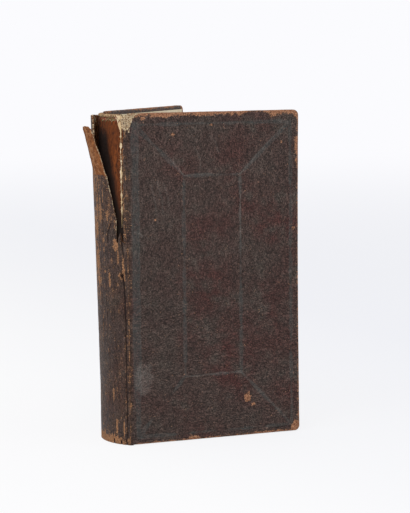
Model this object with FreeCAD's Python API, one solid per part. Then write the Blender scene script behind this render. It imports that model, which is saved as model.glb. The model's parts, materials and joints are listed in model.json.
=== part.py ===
"""A small antique book in blind-tooled leather, standing on its tail with the back cover open.

Frame: X runs from the joints to the fore-edge, Y from the front cover to the back cover,
+Z from tail to head. All sizes are millimetres. The pieces are modelled round the foot of
the front joint and moved together at the end, so that the origin is the centre of the
footprint, on the surface that the book stands on.
"""

import FreeCAD, Part

import math
import os

from FreeCAD import Vector

# Binding as a whole
HEIGHT = 170.0  # covers, head to tail
COVER_WIDTH = 95.0  # joint to fore-edge
THICKNESS = 40.0  # closed, over the leather of both covers
SPINE_BULGE = 8.0  # how far the round of the spine stands out past the joints
BACK_OPEN_DEG = 45.0  # the back cover stands open this far

# Covers
LEATHER = 0.9
BOARD = 2.6
TURN_IN = 0.5  # pared leather folded over onto the inner face
TURN_IN_WIDTH = 12.0
TURN_IN_SHOWING = 2.2  # what the pastedown leaves bare
PASTEDOWN = 0.2
JOINT_STRIP = 1.6  # hinge line to the spine edge of the board
CORNER_RADIUS = 3.0
EDGE_ROUNDING = 1.0
COVER_CLEARANCE = 0.3  # closed cover to the first leaf

# Text block
SQUARE_HEAD = 2.5  # the covers reach past the leaves by these
SQUARE_TAIL = 3.0
SQUARE_FORE_EDGE = 3.5
FORE_EDGE_HOLLOW = 4.0
ENDLEAF = 0.25
SHOULDER_CLEARANCE = 0.3

# Layers on the spine
LINING = 0.5
PASTE_LAYER = 0.1  # lining to leather
LINING_MARGIN = 1.0  # the lining stops short of the covers at head and tail
LINING_SETBACK_DEG = 2.0

# Sewing on cords, beaten flat into sawn grooves
CORD_WIDTH = 2.0
CORD_THICKNESS = 1.3
CORD_COUNT = 4
CORD_ARC_DEG = 68.0
CORD_FIT = 0.05  # cord to the walls of its groove
GROOVE_RUN_OUT_DEG = 2.0  # the groove runs on past each end of its cord
CORD_MARGIN = 26.0  # head or tail of the covers to the nearest cord
SLIP_THICKNESS = 0.4
SLIP_ROOT_WIDTH = 2.0
SLIP_END_WIDTH = 8.0
SLIP_LENGTH = 20.0
SLIP_SETBACK = 1.0  # spine edge of the board to the slip
SLIP_FIT = 0.05

# Endbands
ENDBAND_WIDTH = 1.8  # square to the spine
ENDBAND_HEIGHT = 2.0  # its free edge is half round
ENDBAND_ARC_DEG = 70.0
ENDBAND_FIT = 0.05

# Blind tooling, a border and a panel of double lines
FILLET_LINE = 0.5
FILLET_PITCH = 2.2
FILLET_DEPTH = 0.2
BORDER_FROM_JOINT = 4.4
BORDER_FROM_FORE_EDGE = 5.0
BORDER_FROM_TAIL = 4.0
BORDER_FROM_HEAD = 6.0
PANEL_FROM_JOINT = 30.4
PANEL_FROM_FORE_EDGE = 33.4
PANEL_FROM_TAIL = 33.8
PANEL_FROM_HEAD = 32.5

# Spine leather, whole at the tail, torn and peeled at the head
JOINT_GAP = 0.3  # hinge line to the spine leather
TAIL_CAP_DEPTH = 2.2
PEEL_START = 30.0  # height from which the leather has come away from the lining
PEEL_SLOPE = 0.0245
PEEL_SPANS = 5
TEAR_LENGTH = 66.0  # the leather is open this far down from the head
STUB_WIDTH = 2.6  # front cover's face to the edge of the strip left beside the joint
STUB_LOSS = 7.0  # what that strip lacks at the head
TEAR_WIDTH = 4.6  # front cover's face to the tongue's torn edge at the foot of the tear
TEAR_HEAD_WIDTH = 12.0  # the same at the head
TONGUE_WIDTH = 9.0
TONGUE_LENGTH = 32.0  # head of the covers to the bend of the tongue
TONGUE_SLOPE = 0.2
TONGUE_LOSS = 6.5  # what the tongue lacks at the head
REAR_LOSS = 1.2  # what the leather behind it lacks

# Torn strip of pale lining paper beside the front joint
SCRAP_THICKNESS = 0.3
SCRAP_CLEARANCE = 0.3
SCRAP_ARC_DEG = 3.0
SCRAP_LENGTH = 58.0  # down from the head of the covers

# Round of the spine: the outer face of the leather at the tail
SPINE_RADIUS = ((THICKNESS / 2) ** 2 + SPINE_BULGE**2) / (2 * SPINE_BULGE)
SPINE_CENTRE = Vector(SPINE_RADIUS - SPINE_BULGE, THICKNESS / 2, 0)
SPINE_REACH_DEG = math.degrees(math.asin(THICKNESS / 2 / SPINE_RADIUS))
LEATHER_INNER = SPINE_RADIUS - LEATHER
LINING_OUTER = LEATHER_INNER - PASTE_LAYER
BLOCK_RADIUS = LINING_OUTER - LINING

# Faces of the leaves
COVER_DEPTH = LEATHER + BOARD + TURN_IN
BLOCK_FRONT = COVER_DEPTH + PASTEDOWN + COVER_CLEARANCE
BLOCK_BACK = THICKNESS - BLOCK_FRONT
BLOCK_FOOT = SQUARE_TAIL
BLOCK_HEAD = HEIGHT - SQUARE_HEAD
BLOCK_FORE_EDGE = COVER_WIDTH - SQUARE_FORE_EDGE
SHOULDER_X = JOINT_STRIP - SHOULDER_CLEARANCE
SHOULDER_Y = LEATHER + SHOULDER_CLEARANCE

# Heights on the torn spine
TEAR_FOOT = HEIGHT - TEAR_LENGTH
TONGUE_FOOT = HEIGHT - TONGUE_LENGTH
TONGUE_TOP = HEIGHT - TONGUE_LOSS
TONGUE_REAR = TEAR_HEAD_WIDTH + TONGUE_WIDTH
BEYOND = 2 * SPINE_RADIUS  # far enough out to cut right through

UP = Vector(0, 0, 1)
INWARD = Vector(0, 1, 0)


def cord_heights():
    """Heights of the sewing cords, evenly spaced between head and tail."""
    pitch = (HEIGHT - 2 * CORD_MARGIN) / (CORD_COUNT - 1)
    return [CORD_MARGIN + i * pitch for i in range(CORD_COUNT)]


def plate(x0, x1, z0, z1, y0, y1, corner=0.0):
    """A flat plate across Y, with its two corners at x1 rounded."""
    solid = Part.makeBox(x1 - x0, y1 - y0, z1 - z0, Vector(x0, y0, z0))
    if corner <= 0:
        return solid
    corners = [
        edge
        for edge in solid.Edges
        if all(abs(v.X - x1) < 1e-6 for v in edge.Vertexes)
        and abs(edge.Vertexes[0].Z - edge.Vertexes[1].Z) < 1e-6
    ]
    return solid.makeFillet(corner, corners)


def outline_prism(points, direction):
    """A closed outline of points, extruded."""
    return Part.Face(Part.makePolygon(points + [points[0]])).extrude(direction)


def mirrored(shape):
    """The back cover's twin of a front cover piece, swung open about the back hinge line."""
    twin = shape.mirror(SPINE_CENTRE, INWARD)
    twin.rotate(Vector(0, THICKNESS, 0), UP, BACK_OPEN_DEG)
    return twin


# Covers: board, slips, leather, tooling, pastedown


def board_space():
    """The room that the leather keeps for the board."""
    return plate(
        JOINT_STRIP,
        COVER_WIDTH - LEATHER,
        LEATHER,
        HEIGHT - LEATHER,
        LEATHER,
        LEATHER + BOARD,
        CORNER_RADIUS - LEATHER,
    )


def slip(height, fit=0.0):
    """One frayed cord end, fanned out flat in the outer face of the board."""
    root = JOINT_STRIP + SLIP_SETBACK - fit
    tip = JOINT_STRIP + SLIP_SETBACK + SLIP_LENGTH + fit
    half_root = SLIP_ROOT_WIDTH / 2 + fit
    half_tip = SLIP_END_WIDTH / 2 + fit
    corners = [(root, -half_root), (tip, -half_tip), (tip, half_tip), (root, half_root)]
    return outline_prism(
        [Vector(x, LEATHER, height + z) for x, z in corners], INWARD * SLIP_THICKNESS
    )


def make_board():
    """Pasteboard of one cover, with shallow beds for the frayed cord ends."""
    return board_space().cut([slip(height, SLIP_FIT) for height in cord_heights()])


def make_slips():
    """The cord ends pasted to one board, a group of like pieces."""
    return Part.makeCompound([slip(height) for height in cord_heights()])


def frame_line(insets, grow):
    """One tooled line: a rectangle set in from joint, fore-edge, tail and head."""
    from_joint, from_fore_edge, from_tail, from_head = insets

    def block(step):
        return plate(
            from_joint - step,
            COVER_WIDTH - from_fore_edge + step,
            from_tail - step,
            HEIGHT - from_head + step,
            0,
            FILLET_DEPTH,
        )

    return block(grow + FILLET_LINE / 2).cut(block(grow - FILLET_LINE / 2))


def mitre_lines(start, end):
    """A double line from a corner of the border to the matching corner of the panel."""
    run = end - start
    way = Vector(run).normalize()
    side = way.cross(INWARD)
    near = start + way * FILLET_PITCH
    far = end - way * FILLET_PITCH
    lines = []
    for place in (-FILLET_PITCH / 2, FILLET_PITCH / 2):
        low = side * (place - FILLET_LINE / 2)
        high = side * (place + FILLET_LINE / 2)
        corners = [near + low, far + low, far + high, near + high]
        lines.append(outline_prism(corners, INWARD * FILLET_DEPTH))
    return lines


def tooling():
    """The blind-tooled design: border, panel, and mitres between their corners."""
    border = (BORDER_FROM_JOINT, BORDER_FROM_FORE_EDGE, BORDER_FROM_TAIL, BORDER_FROM_HEAD)
    panel = (PANEL_FROM_JOINT, PANEL_FROM_FORE_EDGE, PANEL_FROM_TAIL, PANEL_FROM_HEAD)
    cuts = [
        frame_line(insets, grow)
        for insets in (border, panel)
        for grow in (-FILLET_PITCH / 2, FILLET_PITCH / 2)
    ]
    for border_x, panel_x in (
        (border[0], panel[0]),
        (COVER_WIDTH - border[1], COVER_WIDTH - panel[1]),
    ):
        for border_z, panel_z in (
            (border[2], panel[2]),
            (HEIGHT - border[3], HEIGHT - panel[3]),
        ):
            cuts += mitre_lines(Vector(border_x, 0, border_z), Vector(panel_x, 0, panel_z))
    return cuts


def make_cover_leather():
    """Leather of one cover: outer face, three edges and the turn-ins, with its tooled lines."""
    skin = plate(0, COVER_WIDTH, 0, HEIGHT, 0, COVER_DEPTH, CORNER_RADIUS)
    outer_edges = [
        edge
        for edge in skin.Edges
        if all(abs(v.Y) < 1e-6 for v in edge.Vertexes)
        and not all(abs(v.X) < 1e-6 for v in edge.Vertexes)
    ]
    skin = skin.makeFillet(EDGE_ROUNDING, outer_edges)
    opening = plate(
        JOINT_STRIP,
        COVER_WIDTH - TURN_IN_WIDTH,
        TURN_IN_WIDTH,
        HEIGHT - TURN_IN_WIDTH,
        LEATHER + BOARD,
        COVER_DEPTH,
    )
    behind_strip = Part.makeBox(
        JOINT_STRIP, COVER_DEPTH - LEATHER, HEIGHT, Vector(0, LEATHER, 0)
    )
    return skin.cut([board_space(), opening, behind_strip] + tooling())


def make_pastedown():
    """Paper on one cover's inner face, stepped where it climbs onto the turn-ins."""
    board_face = LEATHER + BOARD
    sheet = plate(
        JOINT_STRIP,
        COVER_WIDTH - TURN_IN_SHOWING,
        TURN_IN_SHOWING,
        HEIGHT - TURN_IN_SHOWING,
        COVER_DEPTH,
        COVER_DEPTH + PASTEDOWN,
    )
    well = TURN_IN_WIDTH + PASTEDOWN
    dip = plate(
        JOINT_STRIP,
        COVER_WIDTH - TURN_IN_WIDTH,
        TURN_IN_WIDTH,
        HEIGHT - TURN_IN_WIDTH,
        board_face,
        COVER_DEPTH,
    )
    hollow = plate(
        JOINT_STRIP,
        COVER_WIDTH - well,
        well,
        HEIGHT - well,
        board_face + PASTEDOWN,
        COVER_DEPTH + PASTEDOWN,
    )
    return sheet.fuse(dip).cut(hollow)


# Round of the spine


def round_of(bulge):
    """Radius and centre of the round through both hinge lines that stands out that far."""
    radius = ((THICKNESS / 2) ** 2 + bulge**2) / (2 * bulge)
    return radius, Vector(radius - bulge, THICKNESS / 2, 0)


def round_angle(radius, y):
    """The angle at which a round of that radius crosses the plane at y; 0 is its crown."""
    return math.degrees(math.asin((y - THICKNESS / 2) / radius))


def round_point(centre, radius, degrees, height=0.0):
    """A point on a round; negative degrees are on the front side."""
    angle = math.radians(degrees)
    return Vector(
        centre.x - radius * math.cos(angle), centre.y + radius * math.sin(angle), height
    )


def round_arc(centre, radius, start, end, height=0.0):
    """An arc of a round, from one angle to another."""
    return Part.Arc(
        round_point(centre, radius, start, height),
        round_point(centre, radius, (start + end) / 2, height),
        round_point(centre, radius, end, height),
    ).toShape()


def band(centre, outer, inner, start, end, height):
    """A closed wire: the band between two radii, from one angle to another."""
    far_outer = round_point(centre, outer, end, height)
    far_inner = round_point(centre, inner, end, height)
    near_inner = round_point(centre, inner, start, height)
    near_outer = round_point(centre, outer, start, height)
    return Part.Wire(
        [
            round_arc(centre, outer, start, end, height),
            Part.makeLine(far_outer, far_inner),
            round_arc(centre, inner, end, start, height),
            Part.makeLine(near_inner, near_outer),
        ]
    )


def spine_layer(outer, inner, start, end, foot, head):
    """An upright curved strip on the spine."""
    section = band(SPINE_CENTRE, outer, inner, start, end, foot)
    return Part.Face(section).extrude(UP * (head - foot))


# Leaves, sewing, lining, endbands


def block_profile():
    """Plan of the leaves: flat sides, backed shoulders, round spine and hollow fore-edge."""
    tip = -round_angle(BLOCK_RADIUS, SHOULDER_Y)
    front_tip = round_point(SPINE_CENTRE, BLOCK_RADIUS, -tip)
    back_tip = round_point(SPINE_CENTRE, BLOCK_RADIUS, tip)
    front = BLOCK_FRONT + ENDLEAF
    back = BLOCK_BACK - ENDLEAF
    shoulder_front = Vector(SHOULDER_X, front, 0)
    shoulder_back = Vector(SHOULDER_X, back, 0)
    fore_front = Vector(BLOCK_FORE_EDGE, front, 0)
    fore_back = Vector(BLOCK_FORE_EDGE, back, 0)
    deepest = Vector(BLOCK_FORE_EDGE - FORE_EDGE_HOLLOW, SPINE_CENTRE.y, 0)
    return Part.Wire(
        [
            Part.makeLine(fore_front, shoulder_front),
            Part.makeLine(shoulder_front, front_tip),
            round_arc(SPINE_CENTRE, BLOCK_RADIUS, -tip, tip),
            Part.makeLine(back_tip, shoulder_back),
            Part.makeLine(shoulder_back, fore_back),
            Part.Arc(fore_back, deepest, fore_front).toShape(),
        ]
    )


def make_cords():
    """The sewing cords, level with the back of the leaves, a group of like pieces."""
    outer = BLOCK_RADIUS - CORD_FIT
    half = CORD_WIDTH / 2
    reach = CORD_ARC_DEG / 2
    return Part.makeCompound(
        [
            spine_layer(outer, outer - CORD_THICKNESS, -reach, reach, z - half, z + half)
            for z in cord_heights()
        ]
    )


def sawn_groove(height):
    """The kerf that one cord lies in, a little longer than the cord."""
    half = CORD_WIDTH / 2 + CORD_FIT
    floor = BLOCK_RADIUS - CORD_THICKNESS - 2 * CORD_FIT
    reach = CORD_ARC_DEG / 2 + GROOVE_RUN_OUT_DEG
    return spine_layer(LINING_OUTER, floor, -reach, reach, height - half, height + half)


def make_text_block():
    """All leaves as one solid, with the sawn grooves that the cords lie in."""
    block = Part.Face(block_profile()).extrude(UP * (BLOCK_HEAD - BLOCK_FOOT))
    block.translate(UP * BLOCK_FOOT)
    return block.cut([sawn_groove(height) for height in cord_heights()])


def make_endleaf(y0):
    """A free endpaper, lying against the leaves."""
    return plate(JOINT_STRIP, BLOCK_FORE_EDGE, BLOCK_FOOT, BLOCK_HEAD, y0, y0 + ENDLEAF)


def lining_reach():
    """Half of the arc that the lining takes, clear of the covers' joint strips."""
    return -round_angle(LINING_OUTER, SHOULDER_Y) - LINING_SETBACK_DEG


def make_lining():
    """Glued lining on the back of the leaves and the endbands."""
    reach = lining_reach()
    return spine_layer(
        LINING_OUTER, BLOCK_RADIUS, -reach, reach, LINING_MARGIN, HEIGHT - LINING_MARGIN
    )


def make_scrap():
    """Torn strip of pale lining paper that shows past the strip of leather at the joint."""
    start = round_angle(LINING_OUTER, STUB_WIDTH + SCRAP_CLEARANCE)
    return spine_layer(
        LINING_OUTER + SCRAP_THICKNESS,
        LINING_OUTER,
        start,
        start + SCRAP_ARC_DEG,
        HEIGHT - SCRAP_LENGTH,
        HEIGHT - LINING_MARGIN,
    )


def make_endband(seat, way):
    """A thread-wound core on the edge of the leaves; way is 1 at the head, -1 at the tail."""
    outer = BLOCK_RADIUS - ENDBAND_FIT
    inner = outer - ENDBAND_WIDTH
    foot = seat + way * ENDBAND_FIT
    shoulder = foot + way * (ENDBAND_HEIGHT - ENDBAND_WIDTH / 2)

    def at(radius, height):
        return Vector(SPINE_CENTRE.x - radius, SPINE_CENTRE.y, height)

    crown = at((outer + inner) / 2, foot + way * ENDBAND_HEIGHT)
    section = Part.Wire(
        [
            Part.makeLine(at(inner, foot), at(outer, foot)),
            Part.makeLine(at(outer, foot), at(outer, shoulder)),
            Part.Arc(at(outer, shoulder), crown, at(inner, shoulder)).toShape(),
            Part.makeLine(at(inner, shoulder), at(inner, foot)),
        ]
    )
    core = Part.Face(section).revolve(SPINE_CENTRE, UP, ENDBAND_ARC_DEG)
    core.rotate(SPINE_CENTRE, UP, -ENDBAND_ARC_DEG / 2)
    return core


# Torn spine leather


def leather_section(height):
    """The spine leather from joint to joint; it stands out further the higher it is."""
    peeled = max(0.0, height - PEEL_START) * PEEL_SLOPE
    radius, centre = round_of(SPINE_BULGE + peeled)
    half = round_angle(radius, THICKNESS)
    return band(centre, radius, radius - LEATHER, -half, half, height)


def across_spine(points):
    """A cutter through the spine along X, over an outline of (y, z) points."""
    return outline_prism([Vector(-BEYOND, y, z) for y, z in points], Vector(2 * BEYOND, 0, 0))


def torn_edge():
    """The torn edge of the tongue as (y, z) points, foot to head."""
    rise = TONGUE_TOP - TEAR_FOOT
    spread = TEAR_HEAD_WIDTH - TEAR_WIDTH
    shares = [
        (0.0, 0.0),
        (0.02, 0.22),
        (0.20, 0.34),
        (0.50, 0.52),
        (0.70, 0.60),
        (0.76, 0.75),
        (0.94, 0.88),
        (1.0, 1.0),
    ]
    return [(TEAR_WIDTH + spread * a, TEAR_FOOT + rise * b) for a, b in shares]


def torn_head():
    """The ragged head of the tongue as (y, z) points, front to rear."""
    drops = [(0.0, 3.0), (0.28, 1.0), (0.6, 0.2), (0.8, 1.6), (1.0, 3.4)]
    return [(TEAR_HEAD_WIDTH + TONGUE_WIDTH * a, TONGUE_TOP - b) for a, b in drops]


def make_stub():
    """The strip of leather that stays glued down beside the front joint above the tear."""
    shell = spine_layer(
        SPINE_RADIUS,
        LEATHER_INNER,
        -SPINE_REACH_DEG,
        round_angle(SPINE_RADIUS, 2 * STUB_WIDTH),
        TEAR_FOOT - LEATHER,
        HEIGHT,
    )
    top = HEIGHT - STUB_LOSS
    outline = [
        (-LEATHER, TEAR_FOOT - LEATHER),
        (STUB_WIDTH, TEAR_FOOT - LEATHER),
        (STUB_WIDTH, top - 4 * STUB_WIDTH),
        (0.8 * STUB_WIDTH, top - STUB_WIDTH),
        (0.3 * STUB_WIDTH, top),
        (-LEATHER, top),
    ]
    return shell.common(across_spine(outline))


def make_tongue():
    """The middle strip above the tear, bent further out from its foot."""
    rise = TONGUE_TOP - TONGUE_FOOT
    lean = Vector(-TONGUE_SLOPE * rise, 0, rise)
    shell = Part.Face(leather_section(TONGUE_FOOT)).extrude(lean)
    edge = [point for point in torn_edge() if point[1] > TONGUE_FOOT][:-1]
    outline = [(TEAR_WIDTH, TONGUE_FOOT), (TONGUE_REAR, TONGUE_FOOT)]
    return shell.common(across_spine(outline + torn_head()[::-1] + edge[::-1]))


def make_spine_leather():
    """Leather over the spine: whole at the tail, torn and peeled at the head."""
    above = HEIGHT + LEATHER
    rear_top = HEIGHT - REAR_LOSS
    upright = Part.Face(leather_section(0)).extrude(UP * PEEL_START)
    span = (TONGUE_FOOT - PEEL_START) / PEEL_SPANS
    heights = [PEEL_START + i * span for i in range(PEEL_SPANS)] + [TONGUE_FOOT, rear_top]
    peeled = Part.makeLoft([leather_section(height) for height in heights], True, True)
    open_front = across_spine(
        [(-LEATHER, TEAR_FOOT)] + torn_edge() + [(TEAR_HEAD_WIDTH, above), (-LEATHER, above)]
    )
    tongue_zone = across_spine(
        [
            (TEAR_WIDTH, TONGUE_FOOT),
            (TONGUE_REAR, TONGUE_FOOT),
            (TONGUE_REAR, above),
            (TEAR_WIDTH, above),
        ]
    )
    peeled = peeled.cut([open_front, tongue_zone])
    tongue = make_tongue().cut(open_front)
    past_joint = Part.makeBox(
        BEYOND, 2 * THICKNESS, HEIGHT, Vector(-JOINT_GAP, -THICKNESS / 2, 0)
    )
    skin = upright.fuse([peeled, tongue, make_stub()]).cut(past_joint)
    half_cap = ENDBAND_ARC_DEG / 2
    tail_cap = spine_layer(
        LEATHER_INNER, LEATHER_INNER - TAIL_CAP_DEPTH, -half_cap, half_cap, 0, LEATHER
    )
    return skin.fuse(tail_cap).removeSplitter()


def place(parts):
    """Moves all pieces so that the origin is the centre of the footprint."""
    box = Part.makeCompound(list(parts.values())).optimalBoundingBox()
    shift = Vector(-(box.XMin + box.XMax) / 2, -(box.YMin + box.YMax) / 2, -box.ZMin)
    for shape in parts.values():
        shape.translate(shift)
    return shift, box


def main():
    board = make_board()
    slips = make_slips()
    cover_leather = make_cover_leather()
    pastedown = make_pastedown()
    parts = {
        "text_block": make_text_block(),
        "sewing_cords": make_cords(),
        "spine_lining": make_lining(),
        "lining_scrap": make_scrap(),
        "head_band": make_endband(BLOCK_HEAD, 1),
        "tail_band": make_endband(BLOCK_FOOT, -1),
        "front_endleaf": make_endleaf(BLOCK_FRONT),
        "back_endleaf": make_endleaf(BLOCK_BACK - ENDLEAF),
        "spine_leather": make_spine_leather(),
        "front_board": board,
        "front_slips": slips,
        "front_leather": cover_leather,
        "front_pastedown": pastedown,
        "back_board": mirrored(board),
        "back_slips": mirrored(slips),
        "back_leather": mirrored(cover_leather),
        "back_pastedown": mirrored(pastedown),
    }
    shift, box = place(parts)
    os.makedirs("parts", exist_ok=True)
    for name, shape in parts.items():
        shape.exportStep("parts/" + name + ".step")
        print(name, len(shape.Solids), round(shape.Volume, 1), shape.isValid())
    back_hinge = Vector(0, THICKNESS, 0) + shift
    print("front hinge line", round(shift.x, 4), round(shift.y, 4))
    print("back hinge line", round(back_hinge.x, 4), round(back_hinge.y, 4))
    print("size", round(box.XLength, 3), round(box.YLength, 3), round(box.ZLength, 3))


main()
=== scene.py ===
import json
import math

import bpy
import numpy as np
from mathutils import Matrix, Vector


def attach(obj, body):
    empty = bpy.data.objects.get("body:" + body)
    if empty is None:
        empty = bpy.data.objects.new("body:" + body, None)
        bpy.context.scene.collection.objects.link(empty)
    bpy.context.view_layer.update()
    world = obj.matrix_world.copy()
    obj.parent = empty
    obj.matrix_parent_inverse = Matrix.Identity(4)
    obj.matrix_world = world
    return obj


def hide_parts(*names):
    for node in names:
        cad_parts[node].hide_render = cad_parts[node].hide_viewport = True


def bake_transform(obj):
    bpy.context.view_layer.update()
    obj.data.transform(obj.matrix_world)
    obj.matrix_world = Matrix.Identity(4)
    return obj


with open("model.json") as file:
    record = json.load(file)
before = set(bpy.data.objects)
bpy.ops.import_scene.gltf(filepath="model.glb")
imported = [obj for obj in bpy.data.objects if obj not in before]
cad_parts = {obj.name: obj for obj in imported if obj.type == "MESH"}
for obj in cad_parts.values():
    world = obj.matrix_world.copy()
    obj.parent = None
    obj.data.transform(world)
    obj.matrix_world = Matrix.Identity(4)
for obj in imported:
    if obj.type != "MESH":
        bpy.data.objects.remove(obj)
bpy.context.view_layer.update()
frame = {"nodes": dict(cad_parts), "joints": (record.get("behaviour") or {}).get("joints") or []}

# lengths are in mm on the closed book: x from the front joint towards the fore-edge,
# y from the front cover towards the back cover, z up from the tail
book = {"height": 170.0, "width": 95.0, "thickness": 40.0, "leather": 0.9, "joint": 1.6,
        "backCentre": 21.0}      # x of the axis that the rounded back of the leaves turns about
jointByName = {j["name"]: j for j in frame["joints"]}
frontPivot = np.array(jointByName["front_cover_hinge"]["pos_m"]) * 1000.0
backOpenAngle = math.radians(-jointByName["back_cover_hinge"]["range_deg"][0])


def hexColour(code):
    # linear colour of a hex code
    parts = [int(code[i:i + 2], 16) / 255.0 for i in (1, 3, 5)]
    linear = [c / 12.92 if c <= 0.04045 else ((c + 0.055) / 1.055) ** 2.4 for c in parts]
    return (*linear, 1.0)


def addNode(tree, kind, inputs=None, pick=0, **settings):
    # gives back the output that is used next, by number or name
    node = tree.nodes.new(kind)
    for key, value in settings.items():
        setattr(node, key, value)
    for key, value in (inputs or {}).items():
        if isinstance(value, bpy.types.NodeSocket):
            tree.links.new(value, node.inputs[key])
        else:
            node.inputs[key].default_value = value
    return node.outputs[pick] if len(node.outputs) else node


def smoothStep(low, high, value):
    t = np.clip((value - low) / (high - low), 0.0, 1.0)
    return t * t * (3.0 - 2.0 * t)


def noise(x, y, size, seed=0, octaves=1):
    # gradient noise in about -1..1, with cells of the given size in mm
    rng = np.random.default_rng(1000 + seed)
    angles = rng.uniform(0, 2 * np.pi, 4096)
    total, strength, reach = 0.0, 1.0, 0.0
    x, y = np.asarray(x, float) / size + 512.3, np.asarray(y, float) / size + 512.7
    for octave in range(octaves):
        xi, yi = np.floor(x).astype(int), np.floor(y).astype(int)
        fx, fy = x - xi, y - yi
        ux, uy = fx * fx * (3 - 2 * fx), fy * fy * (3 - 2 * fy)
        corners = []
        for dx, dy in ((0, 0), (1, 0), (0, 1), (1, 1)):
            turn = angles[((xi + dx) * 73 + (yi + dy) * 1571 + octave * 977) % 4096]
            corners.append(np.cos(turn) * (fx - dx) + np.sin(turn) * (fy - dy))
        low = corners[0] + ux * (corners[1] - corners[0])
        high = corners[2] + ux * (corners[3] - corners[2])
        total = total + strength * 1.5 * (low + uy * (high - low))
        reach += strength
        strength *= 0.5
        x, y = x * 2.03 + 11.0, y * 2.03 + 7.0
    return total / reach


def spot(x, z, centre, radius, seed=0, ragged=0.35):
    # 1 in the middle of a worn place, 0 past its ragged rim
    (cx, cz), (rx, rz) = centre, radius
    away = np.hypot((x - cx) / rx, (z - cz) / rz)
    away = away + ragged * noise(x, z, max(min(rx, rz) * 0.7, 0.6), seed, 2)
    return 1.0 - smoothStep(0.55, 1.15, away)


def lineDistance(x, z, start, end):
    # distance to the straight line between two points
    (ax, az), (bx, bz) = start, end
    dx, dz = bx - ax, bz - az
    t = np.clip(((x - ax) * dx + (z - az) * dz) / (dx ** 2 + dz ** 2), 0, 1)
    return np.hypot(x - ax - t * dx, z - az - t * dz)


def crack(x, z, points, halfWidth):
    # 1 on a line through the points, falling to 0 at its half width
    nearest = np.minimum.reduce([lineDistance(x, z, *ends) for ends in zip(points, points[1:])])
    return 1.0 - smoothStep(0.0, 1.0, nearest / halfWidth)


def toRow(points, side="block"):
    # book mm to metres in the row frame; the back cover is the front one mirrored and opened
    p = np.array(points, float).reshape(-1, 3)
    if side == "back":
        p[:, 1] = book["thickness"] - p[:, 1]
        c, s = math.cos(backOpenAngle), math.sin(backOpenAngle)
        away = p[:, 1] - book["thickness"]
        x, y = p[:, 0] * c - away * s, p[:, 0] * s + away * c
        p[:, 0], p[:, 1] = x, y + book["thickness"]
    return (p + frontPivot) / 1000.0


def newObject(name, data):
    obj = bpy.data.objects.new(name, data)
    bpy.context.scene.collection.objects.link(obj)
    return obj


def meshObject(name, points, faces, material, side="block", fields=None, sharp=40.0):
    name = name.replace(" ", "_")
    if side == "back":
        faces = [face[::-1] for face in faces]
    mesh = bpy.data.meshes.new(name)
    mesh.from_pydata(toRow(points, side).tolist(), [], faces)
    for label, values in (fields or {}).items():
        kind, channel = ("FLOAT_VECTOR", "vector") if np.ndim(values) == 2 else ("FLOAT", "value")
        layer = mesh.attributes.new(label, kind, "POINT")
        layer.data.foreach_set(channel, np.asarray(values, np.float32).ravel())
    mesh.validate()
    mesh.polygons.foreach_set("use_smooth", [True] * len(mesh.polygons))
    mesh.set_sharp_from_angle(angle=math.radians(sharp))
    mesh.materials.append(material)
    return newObject(name, mesh)


def unitGrid(columns, rows):
    # shares across and up a grid of points
    return np.meshgrid(np.linspace(0, 1, columns), np.linspace(0, 1, rows))


def gridFaces(columns, rows, flip=False):
    i, j = np.meshgrid(np.arange(columns - 1), np.arange(rows - 1))
    a = (j * columns + i).ravel()
    quads = np.stack([a, a + 1, a + 1 + columns, a + columns], 1)
    return quads[:, ::-1] if flip else quads


def thickSheet(patches):
    # patches: (outer points, inner points, fields, quads); edges that match are joined
    outer = np.concatenate([p[0] for p in patches])
    inner = np.concatenate([p[1] for p in patches])
    fields = {k: np.concatenate([p[2][k] for p in patches]) for k in patches[0][2]}
    starts = np.cumsum([0] + [len(p[0]) for p in patches])
    quads = np.concatenate([p[3] + start for p, start in zip(patches, starts)])
    first, where = np.unique(np.round(outer, 3), axis=0, return_index=True, return_inverse=True)[1:]
    quads = where.ravel()[quads]
    outer, inner = outer[first], inner[first]
    fields = {k: v[first] for k, v in fields.items()}
    count = len(outer)
    faces, edges = [], {}
    for q in quads.tolist():
        ring = [v for n, v in enumerate(q) if v != q[n - 1]]
        if len(ring) < 3:
            continue
        faces.append(tuple(ring))
        for a, b in zip(ring, ring[1:] + ring[:1]):
            # an edge that a second face shares is inside the sheet
            if edges.pop((b, a), None) is None:
                edges[(a, b)] = True
    walls = [(b, a, a + count, b + count) for a, b in edges]
    backs = [tuple(v + count for v in face[::-1]) for face in faces]
    fields = {k: np.concatenate([v, v]) for k, v in fields.items()}
    fields["inside"] = np.repeat([0.0, 1.0], count)
    return np.concatenate([outer, inner]), faces + backs + walls, fields


def leatherFields(place, **given):
    # what the leather reads: where each point lies on the skin, and marks that are 0 if not given
    fields = dict.fromkeys(("wear", "pale", "dark", "paintedSheen", "tint", "suede"), 0.0)
    fields.update(band=9.0, **given)
    place = np.stack(np.broadcast_arrays(*place), -1).reshape(-1, 3)
    fields = {k: np.broadcast_to(np.ravel(v), len(place)) for k, v in fields.items()}
    return dict(fields, placeMm=place)


def sheetObject(name, layers, fields, columns, material, side="block", flip=True, flesh=False):
    # a thin sheet between two grids; its inner side is bare suede if it shows the flesh
    outer, inner = [layer.reshape(-1, 3) for layer in layers]
    quads = gridFaces(columns, len(outer) // columns, flip)
    points, faces, fields = thickSheet([(outer, inner, fields, quads)])
    inside = fields.pop("inside")
    if flesh:
        fields["suede"] = np.maximum(fields["suede"], inside)
        fields["wear"] = fields["wear"] * (1 - inside)
    return meshObject(name, points, faces, material, side, fields)


def arcPlace(turn, radius, z):
    # a place on a cylinder about the middle of the rounded back
    middle = book["thickness"] / 2
    return np.stack([book["backCentre"] - radius * np.cos(turn), middle + radius * np.sin(turn), z], -1)


def newMaterial(name):
    material = bpy.data.materials.new(name)
    material.use_nodes = True
    return material, material.node_tree, material.node_tree.nodes["Principled BSDF"]


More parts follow.
